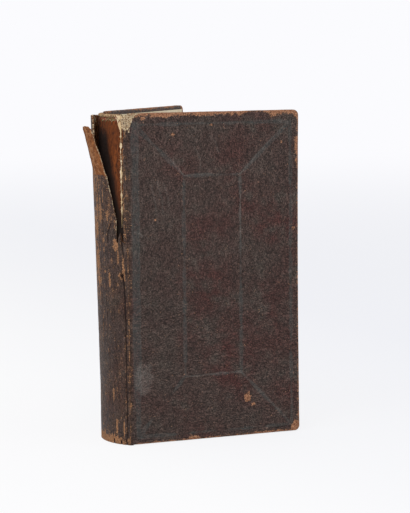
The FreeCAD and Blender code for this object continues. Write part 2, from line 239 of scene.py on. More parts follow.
def leatherMaterial(name, look):
    # goatskin, vegetable tanned and dyed dark: pebbled grain about 1 mm across, half matt from
    # handling, tan where the dye is rubbed off, suede-like where it is torn
    material, tree, shader = newMaterial(name)
    place = addNode(tree, "ShaderNodeAttribute", None, "Vector", attribute_name="placeMm")
    marks = {k: addNode(tree, "ShaderNodeAttribute", None, "Fac", attribute_name=k)
             for k in ("wear", "pale", "dark", "band", "paintedSheen", "suede", "tint")}
    # cells in mm, detail and roughness
    broad, cloud, mottle, fine = [
        addNode(tree, "ShaderNodeTexNoise", {"Vector": place, "Scale": 1 / cell, "Detail": detail,
                                             "Roughness": rough})
        for cell, detail, rough in ((26, 3.0, 0.5), (13.0, 4.0, 0.6), (2.6, 6.0, 0.62), (0.5, 2.0, 0.6))]
    pebble = addNode(tree, "ShaderNodeTexVoronoi", {"Vector": place, "Scale": 1 / 0.75}, "Distance", feature="F1")
    creases = []
    for turn, size in ((0.08, (1 / 3.4, 1 / 1.15, 1.0)), (look["creaseTurn"], (1 / 1.15, 1 / 3.2, 1.0))):
        drawn = addNode(tree, "ShaderNodeMapping", {"Vector": place, "Rotation": (0, 0, turn), "Scale": size})
        creases.append(addNode(tree, "ShaderNodeTexNoise", {"Vector": drawn, "Scale": 1.0, "Detail": 2.0,
                                                            "Distortion": 0.7}))
    upper = addNode(tree, "ShaderNodeMapRange", {
        "Value": addNode(tree, "ShaderNodeSeparateXYZ", {0: place}, 1),
        "From Min": look["creaseLow"], "From Max": look["creaseLow"] + 50.0})
    crease = addNode(tree, "ShaderNodeMix", {0: upper, 2: creases[0], 3: creases[1]}, data_type="FLOAT")
    tint = addNode(tree, "ShaderNodeMath", {0: broad, 1: marks["tint"]}, operation="ADD")
    grain = addNode(tree, "ShaderNodeMath", {0: crease, 1: 0.5, 2: pebble}, operation="MULTIPLY_ADD")
    # creases run where the noise is near its middle; a double line of painted highlight lies 1.1 mm beside each
    # tooled band
    away = {}
    for label, source, middle in (("wrinkle", crease, 0.5), ("line", marks["band"], 1.1)):
        beside = addNode(tree, "ShaderNodeMath", {0: source, 1: middle}, operation="SUBTRACT")
        away[label] = addNode(tree, "ShaderNodeMath", {0: beside}, operation="ABSOLUTE")
    amount = {}
    for label, source, low, high, bottom, top in (
            ("tint", tint, 0.42, 0.6, 0.0, 1.0), ("olive", cloud, 0.4, 0.66, 0.0, 1.0),
            ("wrinkle", away["wrinkle"], 0.0, 0.06, 0.56, 1.14), ("grain", grain, 0.3, 1.0, 1.5, 0.42),
            ("speckle", fine, 0.3, 0.7, 0.72, 1.32), ("line", away["line"], 0.1, 0.42, 0.12, 0.0),
            ("band", marks["band"], 0.9, 2.1, 0.36, 0.0), ("patches", mottle, 0.35, 0.6, 0.35, 1.0),
            ("paintedSheen", fine, 0.38, 0.66, 0.06, 0.42), ("tan", fine, 0.36, 0.62, 0.0, 1.0),
            ("suede", mottle, 0.35, 0.65, 0.0, 1.0), ("paper", fine, 0.4, 0.62, 0.0, 1.0)):
        amount[label] = addNode(tree, "ShaderNodeMapRange", {
            "Value": source, "From Min": low, "From Max": high, "To Min": bottom, "To Max": top})
    for label, gain in (("grain", amount["wrinkle"]), ("grain", amount["speckle"]),
                        ("band", amount["patches"]), ("paintedSheen", marks["paintedSheen"])):
        amount[label] = addNode(tree, "ShaderNodeMath", {0: amount[label], 1: gain}, operation="MULTIPLY")
    amount["rubbed"] = addNode(tree, "ShaderNodeMapRange", {
        "Value": marks["wear"], "From Min": 0.1, "From Max": 0.75, "To Max": 0.6}, interpolation_type="SMOOTHSTEP")
    # ragged masks: the attribute gives the place, the noise its edge
    ragged = addNode(tree, "ShaderNodeMath", {0: fine, 1: mottle}, operation="ADD")
    ragged = addNode(tree, "ShaderNodeMath", {0: ragged, 1: 1.0}, operation="SUBTRACT")
    edges = {}
    for label, shake in (("wear", 1.7), ("pale", 1.2), ("dark", 0.3), ("suede", 0.3)):
        shaken = addNode(tree, "ShaderNodeMath", {0: ragged, 1: shake, 2: marks[label]}, operation="MULTIPLY_ADD")
        edges[label] = addNode(tree, "ShaderNodeMapRange", {
            "Value": shaken, "From Min": 0.4, "From Max": 0.62}, interpolation_type="SMOOTHSTEP")
    # the gap tone marks cracks, nicks and dark patches, and is painted shade in the wormhole, the slot and behind
    # the loosened skin
    tones = {"dark": hexColour(look["gap"])}
    for label, share, deep, light in (("suede", "suede", "suedeDeep", "suede"), ("wear", "tan", "tanDeep", "tan"),
                                      ("pale", "paper", "paleDeep", "pale")):
        tones[label] = addNode(tree, "ShaderNodeMix", {
            0: amount[share], 6: hexColour(look[deep]), 7: hexColour(look[light])}, 2, data_type="RGBA")
    # the band tone is partly the darkened tooling and partly a painted bluish sheen; the line tone and the pale grey
    # tone after it are painted highlights
    layers = [(amount[k], hexColour(look[tone])) for k, tone in (
        ("tint", "red"), ("olive", "olive"), ("band", "band"), ("line", "line"), ("paintedSheen", "paintedSheen"),
        ("rubbed", "rubbed"))]
    layers += [(edges[k], tones[k]) for k in ("suede", "wear", "pale", "dark")]
    ground = hexColour(look["dark"])
    for number, (share, tone) in enumerate(layers):
        ground = addNode(tree, "ShaderNodeMix", {0: share, 6: ground, 7: tone}, 2, data_type="RGBA")
        if number == 1:
            # under the tooling and the wear, pebble tops are lighter and creases darker: partly the grain's own
            # tone, partly painted light and painted shade on the relief
            ground = addNode(tree, "ShaderNodeVectorMath", {0: ground, "Scale": amount["grain"]}, operation="SCALE")
    worn = edges["wear"]
    for label in ("suede", "pale"):
        worn = addNode(tree, "ShaderNodeMath", {0: worn, 1: edges[label]}, operation="MAXIMUM")
    rough = addNode(tree, "ShaderNodeMapRange", {"Value": worn, "To Min": look["rough"], "To Max": 0.86})
    relief = addNode(tree, "ShaderNodeMath", {0: amount["wrinkle"], 1: 0.9, 2: fine}, operation="MULTIPLY_ADD")
    relief = addNode(tree, "ShaderNodeMath", {0: pebble, 1: -0.55, 2: relief}, operation="MULTIPLY_ADD")
    bump = addNode(tree, "ShaderNodeBump", {"Height": relief, "Strength": 1.0, "Distance": 0.00045})
    for label, value in (("Base Color", ground), ("Roughness", rough), ("Normal", bump)):
        tree.links.new(value, shader.inputs[label])
    shader.inputs["IOR"].default_value = 1.5
    shader.inputs["Specular IOR Level"].default_value = 0.18
    return material


def paperMaterial(name, stretch, tones, bump, soilAndShadeTone="#150d09"):
    # rag paper, board and cord: matt fibres drawn along one direction, toned in clouds and foxed;
    # tones are the deep and the light of the fibres, the cloud and the spots
    material, tree, shader = newMaterial(name)
    place = addNode(tree, "ShaderNodeTexCoord", None, "Object")
    stretched = addNode(tree, "ShaderNodeMapping", {"Vector": place, "Scale": stretch})
    lines = addNode(tree, "ShaderNodeTexNoise", {"Vector": stretched, "Scale": 1.0, "Detail": 4.0, "Roughness": 0.7})
    cloud = addNode(tree, "ShaderNodeTexNoise", {"Vector": place, "Scale": 60.0, "Detail": 5.0})
    spots = addNode(tree, "ShaderNodeTexNoise", {"Vector": place, "Scale": 330.0, "Detail": 2.0})
    colour, *others = [hexColour(tone) for tone in tones.split()]
    for source, low, high, most, tone in zip((lines, cloud, spots), (0.34, 0.48, 0.66), (0.66, 0.75, 0.76),
                                             (1.0, 0.7, 0.6), others):
        share = addNode(tree, "ShaderNodeMapRange", {
            "Value": source, "From Min": low, "From Max": high, "To Max": most})
        colour = addNode(tree, "ShaderNodeMix", {0: share, 6: colour, 7: tone}, 2, data_type="RGBA")
    # a point attribute darkens the colour towards one more tone: glue on the back of the leaves, and painted shade
    # on the spine lining
    soilAndShade = addNode(tree, "ShaderNodeAttribute", None, "Fac", attribute_name="soilAndShade")
    colour = addNode(tree, "ShaderNodeMix", {0: soilAndShade, 6: colour, 7: hexColour(soilAndShadeTone)}, 2, data_type="RGBA")
    relief = addNode(tree, "ShaderNodeBump", {"Height": lines, "Strength": bump, "Distance": 0.00015})
    tree.links.new(colour, shader.inputs["Base Color"])
    tree.links.new(relief, shader.inputs["Normal"])
    shader.inputs["Roughness"].default_value = 0.88
    shader.inputs["Specular IOR Level"].default_value = 0.25
    return material


coverLook = {"dark": "#4e3d38", "red": "#53332f", "olive": "#544943", "band": "#4e5757", "line": "#646863",
             "paintedSheen": "#a59f98", "tan": "#bd8c6c", "tanDeep": "#7c4d37", "rubbed": "#59402f", "suede": "#9e6438",
             "suedeDeep": "#6a3d23", "pale": "#dccaa9", "paleDeep": "#8f6a49", "gap": "#221614", "rough": 0.5,
             "creaseTurn": 0.5, "creaseLow": 55.0}
spineLook = dict(coverLook, dark="#463530", red="#523529", olive="#4f4139", rubbed="#5f402b", tan="#b78963",
                 tanDeep="#6c4530", creaseTurn=0.1, creaseLow=-60.0, rough=0.52)
coverLeather = leatherMaterial("dyed goatskin, blind tooled", coverLook)
spineLeather = leatherMaterial("dyed goatskin, rubbed spine", spineLook)
pageEdges = paperMaterial("rag paper, trimmed page edges", (40.0, 2600.0, 40.0),
                          "#b89a70 #e0cda8 #c3a478 #8e6438", 0.7, "#6f3a22")
endPaper = paperMaterial("rag paper, toned and foxed sheet", (900.0, 900.0, 160.0),
                         "#e4d6b8 #f3ead5 #dac49b #a67d4c", 0.25)
tornPaper = paperMaterial("torn paper lining, fibrous", (1500.0, 1500.0, 250.0),
                          "#b79468 #eadbbd #c9a878 #7b4f2a", 0.9)
gluedLining = paperMaterial("glue-soaked paper lining, brown", (700.0, 900.0, 330.0),
                            "#331707 #7c4018 #52270e #1a0f09", 1.0)
pasteboard = paperMaterial("grey-brown pasteboard", (120.0, 2400.0, 120.0),
                           "#7f674a #a68a63 #8d7250 #5d4426", 0.6)
hempCord = paperMaterial("hemp cord, sawn in", (1200.0, 1200.0, 1200.0),
                         "#8a7350 #c4ad84 #a08861 #6e5635", 0.8)
print("materials are made")

# the nodes that keep their own shape get the finish of their slot
plainNodes = {"front_board": pasteboard, "back_board": pasteboard, "sewing_cords": hempCord,
              "front_slips": hempCord, "back_slips": hempCord}
for nodeName, finish in plainNodes.items():
    node = frame["nodes"][nodeName]
    node.data.materials.clear()
    node.data.materials.append(finish)

coverSeeds = {"front": 0, "back": 70}
cover = {
    "depth": 4.0,           # leather, board and turn-in
    "ring": 3.0,            # width of the band in which the edge rounds over
    "coarse": 0.62, "fineStep": 0.26, "fineReach": 2.0,
    "borderJoint": 4.4, "borderFore": 90.0, "borderTail": 4.0, "borderHead": 164.0,
    "panelJoint": 30.4, "panelFore": 61.6, "panelTail": 33.8, "panelHead": 137.5,
    "bow": 0.5,             # the fore-edge draws in at mid height
    "toolDepth": 0.16,
}


def bandDistance(x, z):
    # distance to the nearest tooled band: outer border, inner panel and the four mitres
    c = cover

    def rectangle(left, right, low, high):
        dx = np.maximum(left - x, x - right)
        dz = np.maximum(low - z, z - high)
        outside = np.hypot(np.maximum(dx, 0), np.maximum(dz, 0))
        return np.where((dx > 0) | (dz > 0), outside, -np.maximum(dx, dz))

    nearest = np.minimum(rectangle(c["borderJoint"], c["borderFore"], c["borderTail"], c["borderHead"]),
                         rectangle(c["panelJoint"], c["panelFore"], c["panelTail"], c["panelHead"]))
    for bx, px in ((c["borderJoint"], c["panelJoint"]), (c["borderFore"], c["panelFore"])):
        for bz, pz in ((c["borderTail"], c["panelTail"]), (c["borderHead"], c["panelHead"])):
            nearest = np.minimum(nearest, lineDistance(x, z, (bx, bz), (px, pz)))
    return nearest


def uneven(low, high, lines):
    # a row of places between low and high, closer together around the tooled lines
    places, at = [low], low
    while at < high:
        near = min(abs(at - line) for line in lines) < cover["fineReach"]
        at += cover["fineStep"] if near else cover["coarse"]
        places.append(at)
    places = np.array(places)
    return low + (places - low) * (high - low) / (places[-1] - low)


def coverFields(x, y, z, edge, seed):
    # edge: 0 on the flat face, 1 from the rim of the rounding on
    fromHead, fromFore, fromTail = book["height"] - z, book["width"] - x, z
    wide = noise(x, z, 9.0, seed + 1, 3)
    small = noise(x, z, 2.6, seed + 2, 3)
    front = seed == coverSeeds["front"]
    if front:
        # a gap in the worn head, from 69 to 74 mm
        gap = smoothStep(60, 69, x + 2.0 * small) * (1 - smoothStep(74, 80, x + 2.0 * small))
        headWidth = (1.7 + 2.9 * wide + 1.4 * small) * smoothStep(0.5, 3.0, x) * (1 - 0.9 * gap)
        tailWidth = 0.7 + 0.5 * small + 0.6 * spot(x, 0 * z, (78, 0), (9, 1)) + 1.4 * spot(x, 0 * z, (35, 0), (3, 1))
        foreWidth = 0.95 + 0.55 * small + 1.3 * spot(z, 0 * x, (152, 0), (4.5, 1)) + 0.5 * wide
        marks, rimWear, jointWear = frontScuffs, 0.36, 0.02 + 0.45 * noise(x * 3, z, 5.0, seed + 7, 3)
    else:
        headWidth = 0.4 + 1.8 * wide + 1.2 * small
        tailWidth = 1.2 + 1.4 * wide + 0.7 * small
        foreWidth = 1.1 + 1.2 * wide + 0.7 * small
        marks, rimWear, jointWear = backScuffs, 0.34, 0.5 + 0.5 * noise(x * 3, z, 7.0, seed + 7, 3)
    # each rim is worn over its width and fades out over 1.6 mm on both sides of it
    worn = [1 - smoothStep(-1.6, 1.6, distance) for distance in (
        fromHead - headWidth, fromTail - tailWidth, fromFore - foreWidth)]
    worn += [edge * (rimWear + 0.7 * noise(x + y, z, 4.0, seed + 4, 3)),
             spot(x, z, (94.6, 1.4), (6.2, 5.0), seed + 5, 0.3),
             0.9 * spot(x, z, (94.6, 169.0), (4.0, 4.4), seed + 6, 0.3),
             jointWear * (1 - smoothStep(0.6, 2.2, x))]
    worn += [most * spot(x, z, centre, radius, seed + 20 + number, 0.6)
             for number, (centre, radius, most) in enumerate(marks)]
    pale = paintedSheen = dark = 0 * x
    tint = 0.04 * wide
    if front:
        # painted sheen: a sheen patch, a small glint and highlights along the wrinkles, stronger on two of them
        sheenMarks = [0.85 * spot(x, z, (7.5, 34), (5.0, 9.0), seed + 8),
                  0.75 * spot(x, z, (76, 3.6), (0.9, 0.9), seed + 9)]
        sheenMarks += [(1.3 if number in (3, 4) else 0.5) * crack(x - 0.5, z, points, 0.6)
                   for number, points in enumerate(coverWrinkles)]
        # the tooled lines catch the light here and there
        sheenMarks += [(0.55 + 0.45 * small) * crack(x + 0.4 * wide, z + 0.3 * small, points, 0.75)
                   for points in toolGlints]
        paintedSheen = np.maximum.reduce([paintedSheen] + sheenMarks)
        # the skin is gone at the head of the joint and the paper lies open
        bareWidth = 5.6 * np.exp(-fromHead / 2.0) + 2.2 * (1 - smoothStep(4.0, 12.0, fromHead)) + 0.8 * small
        flecks = smoothStep(0.1, 0.45, noise(x, z * 0.7, 0.9, seed + 16, 2))
        pale = np.where(x < 9, (1 - smoothStep(-0.45, 0.45, x - bareWidth)) * (1 - 0.75 * flecks), 0.0)
        worn.append(0.8 * spot(x, z, (8.6, 167.2), (1.7, 1.0), seed + 17, 0.6))
        nicks = (((68.2, 99.4), (68.9, 98.4)), ((85.1, 99.6), (85.9, 98.6)))
        dark = np.maximum.reduce([dark] + [0.8 * crack(x, z, points, 0.7) for points in nicks])
        for most, centre, radius, number in ((0.13, (77, 109), (14, 9), 10), (0.12, (60, 60), (22, 50), 11),
                                             (-0.10, (15, 90), (15, 90), 12)):
            tint = tint + most * spot(x, z, centre, radius, seed + number)
    band = bandDistance(x, z) + 1.1 * smoothStep(-0.2, 0.5, noise(x, z, 12.0, seed + 13, 2)) + 4.0 * edge
    band = band + 0.45 * smoothStep(7, 12, x) + 1.1 * spot(x, z, (18, 19), (11, 12), seed + 14)
    band = band + 0.8 * spot(x, z, (46, 8), (34, 6), seed + 15)
    # the band tone spreads along the joint as a painted bluish sheen there
    band = band - 1.1 * (1 - smoothStep(5.5, 9.0, x)) * (0.6 + 0.4 * wide)
    return {"wear": np.maximum.reduce(worn), "pale": pale, "dark": dark, "paintedSheen": paintedSheen, "tint": tint,
            "band": band, "suede": 0 * x, "placeMm": np.stack([x, z + y, y], -1)}


# scuffs as (centre, radii, how worn)
frontScuffs = (((24.8, 158.8), (1.5, 1.0), 0.62), ((84.8, 153.4), (1.2, 1.0), 0.62), ((65, 20.2), (2.4, 2.7), 0.8),
               ((68.2, 16.4), (1.5, 1.1), 0.62), ((91.6, 108), (1.3, 1.2), 0.62), ((15, 115.5), (0.8, 0.7), 0.62),
               ((93.6, 143), (1.0, 3.0), 0.62), ((46, 163.2), (1.2, 0.8), 0.62))
backScuffs = [(centre, (2.4, 1.6), 0.6) for centre in ((30, 120), (72, 46), (18, 60), (55, 150), (82, 88))]
toolGlints = (((31, 33.4), (45, 33.9), (60.5, 34.4)), ((61.6, 33.8), (73, 22), (86.5, 8.5)),
              ((61.6, 137.5), (70, 146), (80, 156)), ((30.4, 137.5), (46, 138.2)), ((61.8, 136), (61.4, 104)))
coverWrinkles = (((12.5, 133), (14.5, 124), (15, 118)), ((15.5, 135), (18, 126), (18.6, 119)),
                 ((19, 134), (21.5, 126), (22, 120)), ((24.5, 144.5), (27.5, 141.0), (29.6, 138.2)),
                 ((3.2, 109.6), (5.2, 109.2), (7.4, 107.4)), ((20, 150), (23.5, 146), (25.5, 145)),
                 ((36, 152), (39, 146), (39.5, 141)), ((44, 158), (48, 154), (49, 149)))


def coverRelief(x, z, seed):
    # inward depth of the outer face in mm: cockling, wrinkles, pressed lines and lost leather
    band = bandDistance(x, z)
    pressed = np.exp(-((band - 1.1) / 0.34) ** 2) * cover["toolDepth"] * (
        0.62 + 0.45 * noise(x, z, 14.0, seed + 40, 2))
    cockle = 0.07 * (1 + noise(x, z, 38.0, seed + 41, 2))
    turn = 0.5 * noise(x, z, 60.0, seed + 42)
    wrinkle = np.abs(noise(x * 1.9 + z * turn, z * 0.75 - x * turn, 3.4, seed + 43, 3))
    wrinkle = 0.055 * (1 - smoothStep(0.0, 0.25, wrinkle))
    for points in coverWrinkles:
        wrinkle = wrinkle + 0.12 * crack(x + 0.3 * noise(x, z, 2.0, seed + 45), z, points, 0.7)
    fine = 0.03 * (1 + noise(x, z, 1.5, seed + 44, 2))
    marks = coverFields(x, 0 * x, z, 0 * x, seed)
    return pressed + cockle + wrinkle + fine + 0.3 * marks["pale"] + 0.05 * smoothStep(0.4, 0.8, marks["wear"])


def ringProfile():
    # (distance from the edge of the flat area, depth) over the edge to the inner face
    ring, depth = cover["ring"], cover["depth"]
    stations = [(0.6, 0.0), (1.2, 0.0), (1.7, 0.0)]
    stations += [(2.0 + math.sin(a), 1.0 - math.cos(a)) for a in np.radians((12, 30, 48, 66, 84))]
    stations += [(ring, 1.5), (ring, 2.1), (ring, 2.7)]
    stations += [(2.3 + 0.7 * math.cos(a), 3.3 + 0.7 * math.sin(a)) for a in np.radians((8, 35, 62, 90))]
    return stations + [(1.6, depth), (0.9, depth), (0.0, depth)]


def coverShell(name, side, seed):
    ring, height, joint, width = cover["ring"], book["height"], book["joint"], book["width"]
    xs = uneven(joint, width - ring, [cover[k] for k in ("borderJoint", "panelJoint", "panelFore", "borderFore")])
    zs = uneven(ring, height - ring, [cover[k] for k in ("borderTail", "panelTail", "panelHead", "borderHead")])
    columns, rows = len(xs), len(zs)
    gx, gz = (g.ravel() for g in np.meshgrid(xs, zs))
    points = [np.stack([gx, coverRelief(gx, gz, seed), gz], 1)]
    edge = [np.zeros(len(gx))]
    faces = [tuple(q) for q in gridFaces(columns, rows).tolist()]
    # walk round tail, fore-edge and head; each corner is a fan about one grid point
    walk = [(x, ring, 0.0, -1.0, i) for i, x in enumerate(xs)]
    fan = np.radians(np.arange(10, 90, 10))
    walk += [(xs[-1], ring, math.sin(a), -math.cos(a), columns - 1) for a in fan]
    walk += [(xs[-1], z, 1.0, 0.0, j * columns + columns - 1) for j, z in enumerate(zs)]
    walk += [(xs[-1], zs[-1], math.cos(a), math.sin(a), rows * columns - 1) for a in fan]
    walk += [(x, zs[-1], 0.0, 1.0, (rows - 1) * columns + columns - 1 - i) for i, x in enumerate(xs[::-1])]
    base = np.array([w[:4] for w in walk])
    before = [w[4] for w in walk]
    count = len(gx)
    lowEnds, highEnds = [], []
    for out, depth in ringProfile():
        x, z = base[:, 0] + out * base[:, 2], base[:, 1] + out * base[:, 3]
        shrink = 0.06 * (1 + noise(x + depth, z - depth, 2.2, seed + 50, 2)) + 0.10 * (
            1 + noise(x, z, 14.0, seed + 51, 2)) * smoothStep(1.7, 3.0, out)
        rounding = min(depth / 1.0, 1.0)
        y = depth + coverRelief(x, z, seed) * (1 - rounding) + 0 * x
        x, z = x - base[:, 2] * shrink * rounding, z - base[:, 3] * shrink * rounding
        points.append(np.stack([x, y, z], 1))
        edge.append(np.full(len(x), min(1.0, depth * 1.2) if depth < 3.9 else 0.35))
        now = list(range(count, count + len(x)))
        for k in range(len(now) - 1):
            corners = before[k], now[k], now[k + 1], before[k + 1]
            faces.append(tuple(dict.fromkeys(corners)))
        lowEnds.append(now[0])
        highEnds.append(now[-1])
        before = now
        count += len(x)
    faces.append(tuple(before))
    # the wall at the joint closes the shell
    faces.append(tuple([j * columns for j in range(rows)] + highEnds + lowEnds[::-1]))
    points, edge = np.concatenate(points), np.concatenate(edge)
    bow = cover["bow"] * np.sin(np.pi * points[:, 2] / height) * smoothStep(20, width, points[:, 0])
    points[:, 0] -= bow
    fields = coverFields(points[:, 0], points[:, 1], points[:, 2], edge, seed)
    return meshObject(name, points, faces, coverLeather, side, fields, sharp=50.0)


for side, body in (("front", "front_cover"), ("back", "back_cover")):
    shell = coverShell(side + " cover leather", side, coverSeeds[side])
    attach(shell, body)
    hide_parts(side + "_leather")
    print(side, "cover leather:", len(shell.data.polygons), "faces")

skinWidth = 44.0             # mm along the skin of the spine from joint to joint
spine = {
    "bulge": 8.0, "growFrom": 30.0, "grow": 0.0245, "whole": 104.0, "bend": 138.0,
    "start": 0.315,          # y at which the strip over the joint takes over
    "tongueEdge": 21.0, "tongueTop": 163.5, "tongueSlope": 0.245, "rearTop": 168.8,
    "tear": ((0, 0), (0.02, 0.22), (0.20, 0.34), (0.50, 0.52), (0.70, 0.60), (0.76, 0.75), (0.95, 0.88),
             (1.06, 1)),
    "tearFoot": 4.6, "tearHead": 12.0, "stubWidth": 2.6, "stubTop": 163.0,
    "step": 0.5, "wormhole": (0.085 * skinWidth, 87.5),
}


def bulgeArc(y, z):
    # the skin of the spine bulges more towards the head: depth of the bulge, its radius and the
    # turn of each point about the middle
    bulge = spine["bulge"] + np.maximum(0.0, z - spine["growFrom"]) * spine["grow"]
    half = book["thickness"] / 2
    radius = (half ** 2 + bulge ** 2) / (2 * bulge)
    return bulge, radius, np.arcsin(np.clip((y - half) / radius, -1, 1))


def spineSurface(y, z, depth):
    # the outer face of the spine leather, depth mm under its skin
    bulge, radius, turn = bulgeArc(y, z)
    reach = radius - depth
    middle = book["thickness"] / 2
    return np.stack([radius - bulge - reach * np.cos(turn), middle + reach * np.sin(turn), z + 0 * y], -1)


def shareOf(y, z):
    # share of the arc from the front joint (0) to the back joint (1)
    bulge, radius, turn = bulgeArc(y, z)
    halfTurn = np.arcsin(book["thickness"] / 2 / radius)
    return (turn + halfTurn) / (2 * halfTurn)


def tornEdge(z):
    share, rise = zip(*spine["tear"])
    up = (np.asarray(z, float) - spine["whole"]) / (spine["tongueTop"] - spine["whole"])
    edge = spine["tearFoot"] + np.interp(up, rise, share) * (spine["tearHead"] - spine["tearFoot"])
    ragged = 0.35 * noise(z, 0 * z, 4.0, 301, 2) + 0.16 * noise(z, 0 * z, 1.1, 302, 2)
    return edge + ragged * smoothStep(0.0, 0.06, up)


spineCracks = (
    # (points as (share of the arc, height), half width in mm, depth in mm)
    (((0.22, 114), (0.27, 109.5), (0.275, 104)), 0.7, 0.5),
    (((0.085, 106), (0.07, 101), (0.065, 97)), 0.6, 0.5),
    (((0.07, 87), (0.05, 76), (0.045, 60)), 0.8, 0.55),
    (((0.045, 60), (0.05, 36), (0.04, 4)), 0.6, 0.4),
    (((0.255, 2.2), (0.25, 0)), 1.0, 0.5), (((0.14, 1.8), (0.13, 0)), 1.0, 0.5),
    (((0.06, 2.5), (0.055, 0)), 0.9, 0.5),
    (((0.42, 96), (0.43, 70), (0.41, 52)), 0.35, 0.2), (((0.33, 88), (0.32, 62)), 0.3, 0.15),
    (((0.19, 92), (0.2, 66), (0.18, 40)), 0.3, 0.15), (((0.3, 50), (0.31, 22)), 0.3, 0.15),
    (((0.46, 132), (0.44, 112), (0.46, 100)), 0.4, 0.2), (((0.36, 126), (0.35, 108)), 0.4, 0.2),
)
# rubbed places as (share of the arc, height, half width, half height, how worn, seed, raggedness)
spineScuffs = [(0.16, 103.0, 1.7, 3.2, 0.85, 316, 0.7), (0.26, 85, 0.7, 4.6, 0.9, 317, 0.35),
               (0.065, 92.5, 0.5, 5.5, 0.9, 318, 0.35), (0.25, 26, 0.6, 6.0, 0.75, 319, 0.35),
               (0.34, 89, 0.9, 0.9, 0.7, 321, 0.35)]
spineScuffs += [(*place, 0.8, 500 + number, 0.5) for number, place in enumerate((
    (0.50, 111, 2.2, 4.6), (0.515, 94, 2.4, 7.5), (0.485, 84, 1.9, 3.0), (0.46, 126, 0.7, 8.0),
    (0.40, 119, 0.45, 7.0), (0.34, 128, 0.4, 5.0), (0.27, 118, 0.6, 3.4), (0.13, 98, 0.5, 5.0),
    (0.055, 88, 0.5, 6.5), (0.09, 8, 0.6, 6.0), (0.2, 9, 0.9, 5.0), (0.42, 62, 0.35, 5.0)))]


def holeDistance(arc, z):
    # a wormhole beside the joint
    return np.hypot(arc - spine["wormhole"][0], z - spine["wormhole"][1])


def skinCracks(arc, z, share):
    # the deepest of the cracks at each point, each as deep as share(depth)
    sway = 0.55 * noise(z, 0 * z, 7.0, 323, 3)
    return [share(depth) * crack(arc + 0.6 * sway, z, [(s * skinWidth, h) for s, h in points], halfWidth)
            for points, halfWidth, depth in spineCracks]


def spineFields(y, z):
    f = shareOf(y, z)
    arc = f * skinWidth
    streak = noise(arc, z * 0.13, 1.15, 311, 3)
    blotch = noise(arc, z * 0.5, 5.0, 312, 3)
    flecks = noise(arc, z * 0.45, 1.1, 313, 2)
    wear = 0.1 + (0.38 + 0.12 * smoothStep(70, 90, z)) * streak + 0.25 * blotch + 0.12 * smoothStep(104, 112, z)
    wear = wear + 0.24 * smoothStep(0.3, 0.5, f) * smoothStep(60, 90, z) + 0.06 * smoothStep(0.5, 0.75, f)
    wear = wear + 0.30 * smoothStep(0.35, 0.75, f) * (1 - smoothStep(96, 118, z)) * smoothStep(70, 84, z)
    wear = wear - 0.22 * smoothStep(0.55, 0.7, f) * smoothStep(80, 110, z)
    # tan band over the tail, with streaks rising out of it
    tailHigh = 3.6 + 1.3 * noise(arc, 0 * z, 3.0, 314, 2)
    tailHigh = tailHigh + 3.5 * smoothStep(0.15, 0.5, noise(arc, 0 * z, 1.7, 315, 2))
    tailWear = (1 - smoothStep(-1.2, 1.6, z - tailHigh)) * (0.55 + 0.45 * smoothStep(0.04, 0.2, f))
    sway = 0.55 * noise(z, 0 * z, 7.0, 323, 3)
    joined = smoothStep(-0.35, 0.15, noise(z, 0 * z, 5.0, 324, 2))
    grooved = 0.64 * joined * crack(arc + sway, z, ((2.3, 84), (2.1, 60), (2.5, 36), (2.1, 5)), 0.45)
    wear = np.maximum.reduce([wear, tailWear, grooved] + [
        most * spot(arc, z, (share * skinWidth, height), (wide, high), seed, ragged)
        for share, height, wide, high, most, seed, ragged in spineScuffs])
    wear = wear * (1 - 0.55 * smoothStep(0.1, 0.5, flecks))
    # the cracks are dark; the wormhole is painted dark, painted shade in the hole, and its rim rubbed
    hole = holeDistance(arc, z)
    dark = np.maximum.reduce(skinCracks(arc, z, lambda depth: 1.0) + [1 - smoothStep(0.85, 1.15, hole)])
    wear = np.maximum(wear, 0.8 * (1 - smoothStep(0.2, 0.6, np.abs(hole - 1.5))))
    # the tongue is bare suede, purple-dark along its left edge
    upper = smoothStep(136.5, 139.5, z + 2.0 * blotch) * (1 - smoothStep(20.6, 21.2, y))
    dark = np.maximum(dark, 0.55 * upper * smoothStep(17.8, 20.5, y + 1.4 * streak))
    wear = wear + 0.15 * smoothStep(150, 163, z) * smoothStep(21, 23, y)
    # a short slot beside the tongue at the head, painted dark as painted shade in the gap, with pale lips
    slotHigh = smoothStep(152, 157, z) * (1 - smoothStep(166, 168, z))
    dark = np.maximum(dark, slotHigh * smoothStep(21.2, 21.8, y) * (1 - smoothStep(24.4, 25.2, y)))
    lips = np.maximum(1 - smoothStep(0.1, 0.45, np.abs(y - 21.2)), 1 - smoothStep(0.1, 0.5, np.abs(y - 25.4)))
    flaked = 0.75 * spot(arc, z, (34.0, 166.0), (4.5, 3.2), 322) * (1 - slotHigh * smoothStep(25, 24, y))
    torn = 0.5 * (1 - smoothStep(0.2, 0.5, np.abs(y - tornEdge(z)))) * smoothStep(106, 109, z)
    pale = np.maximum.reduce([0.7 * lips * slotHigh, flaked, torn])
    return leatherFields((arc, z, 0.0), wear=wear, pale=pale, dark=dark, tint=0.1 * blotch, suede=0.86 * upper)


def spineRelief(y, z):
    arc = shareOf(y, z) * skinWidth
    fold = 0.10 * (1 + noise(arc, z * 0.3, 5.0, 330, 2))
    ridge = 0.10 * (1 - smoothStep(0.0, 0.22, np.abs(noise(arc, z * 0.22, 2.6, 331, 2))))
    skin = 0.035 * (1 + noise(arc, z, 1.4, 332, 2))
    hole = holeDistance(arc, z)
    deep = skinCracks(arc, z, lambda depth: depth) + [0.8 * (1 - smoothStep(0.6, 1.0, hole))]
    return fold + ridge + skin + np.maximum.reduce(deep)


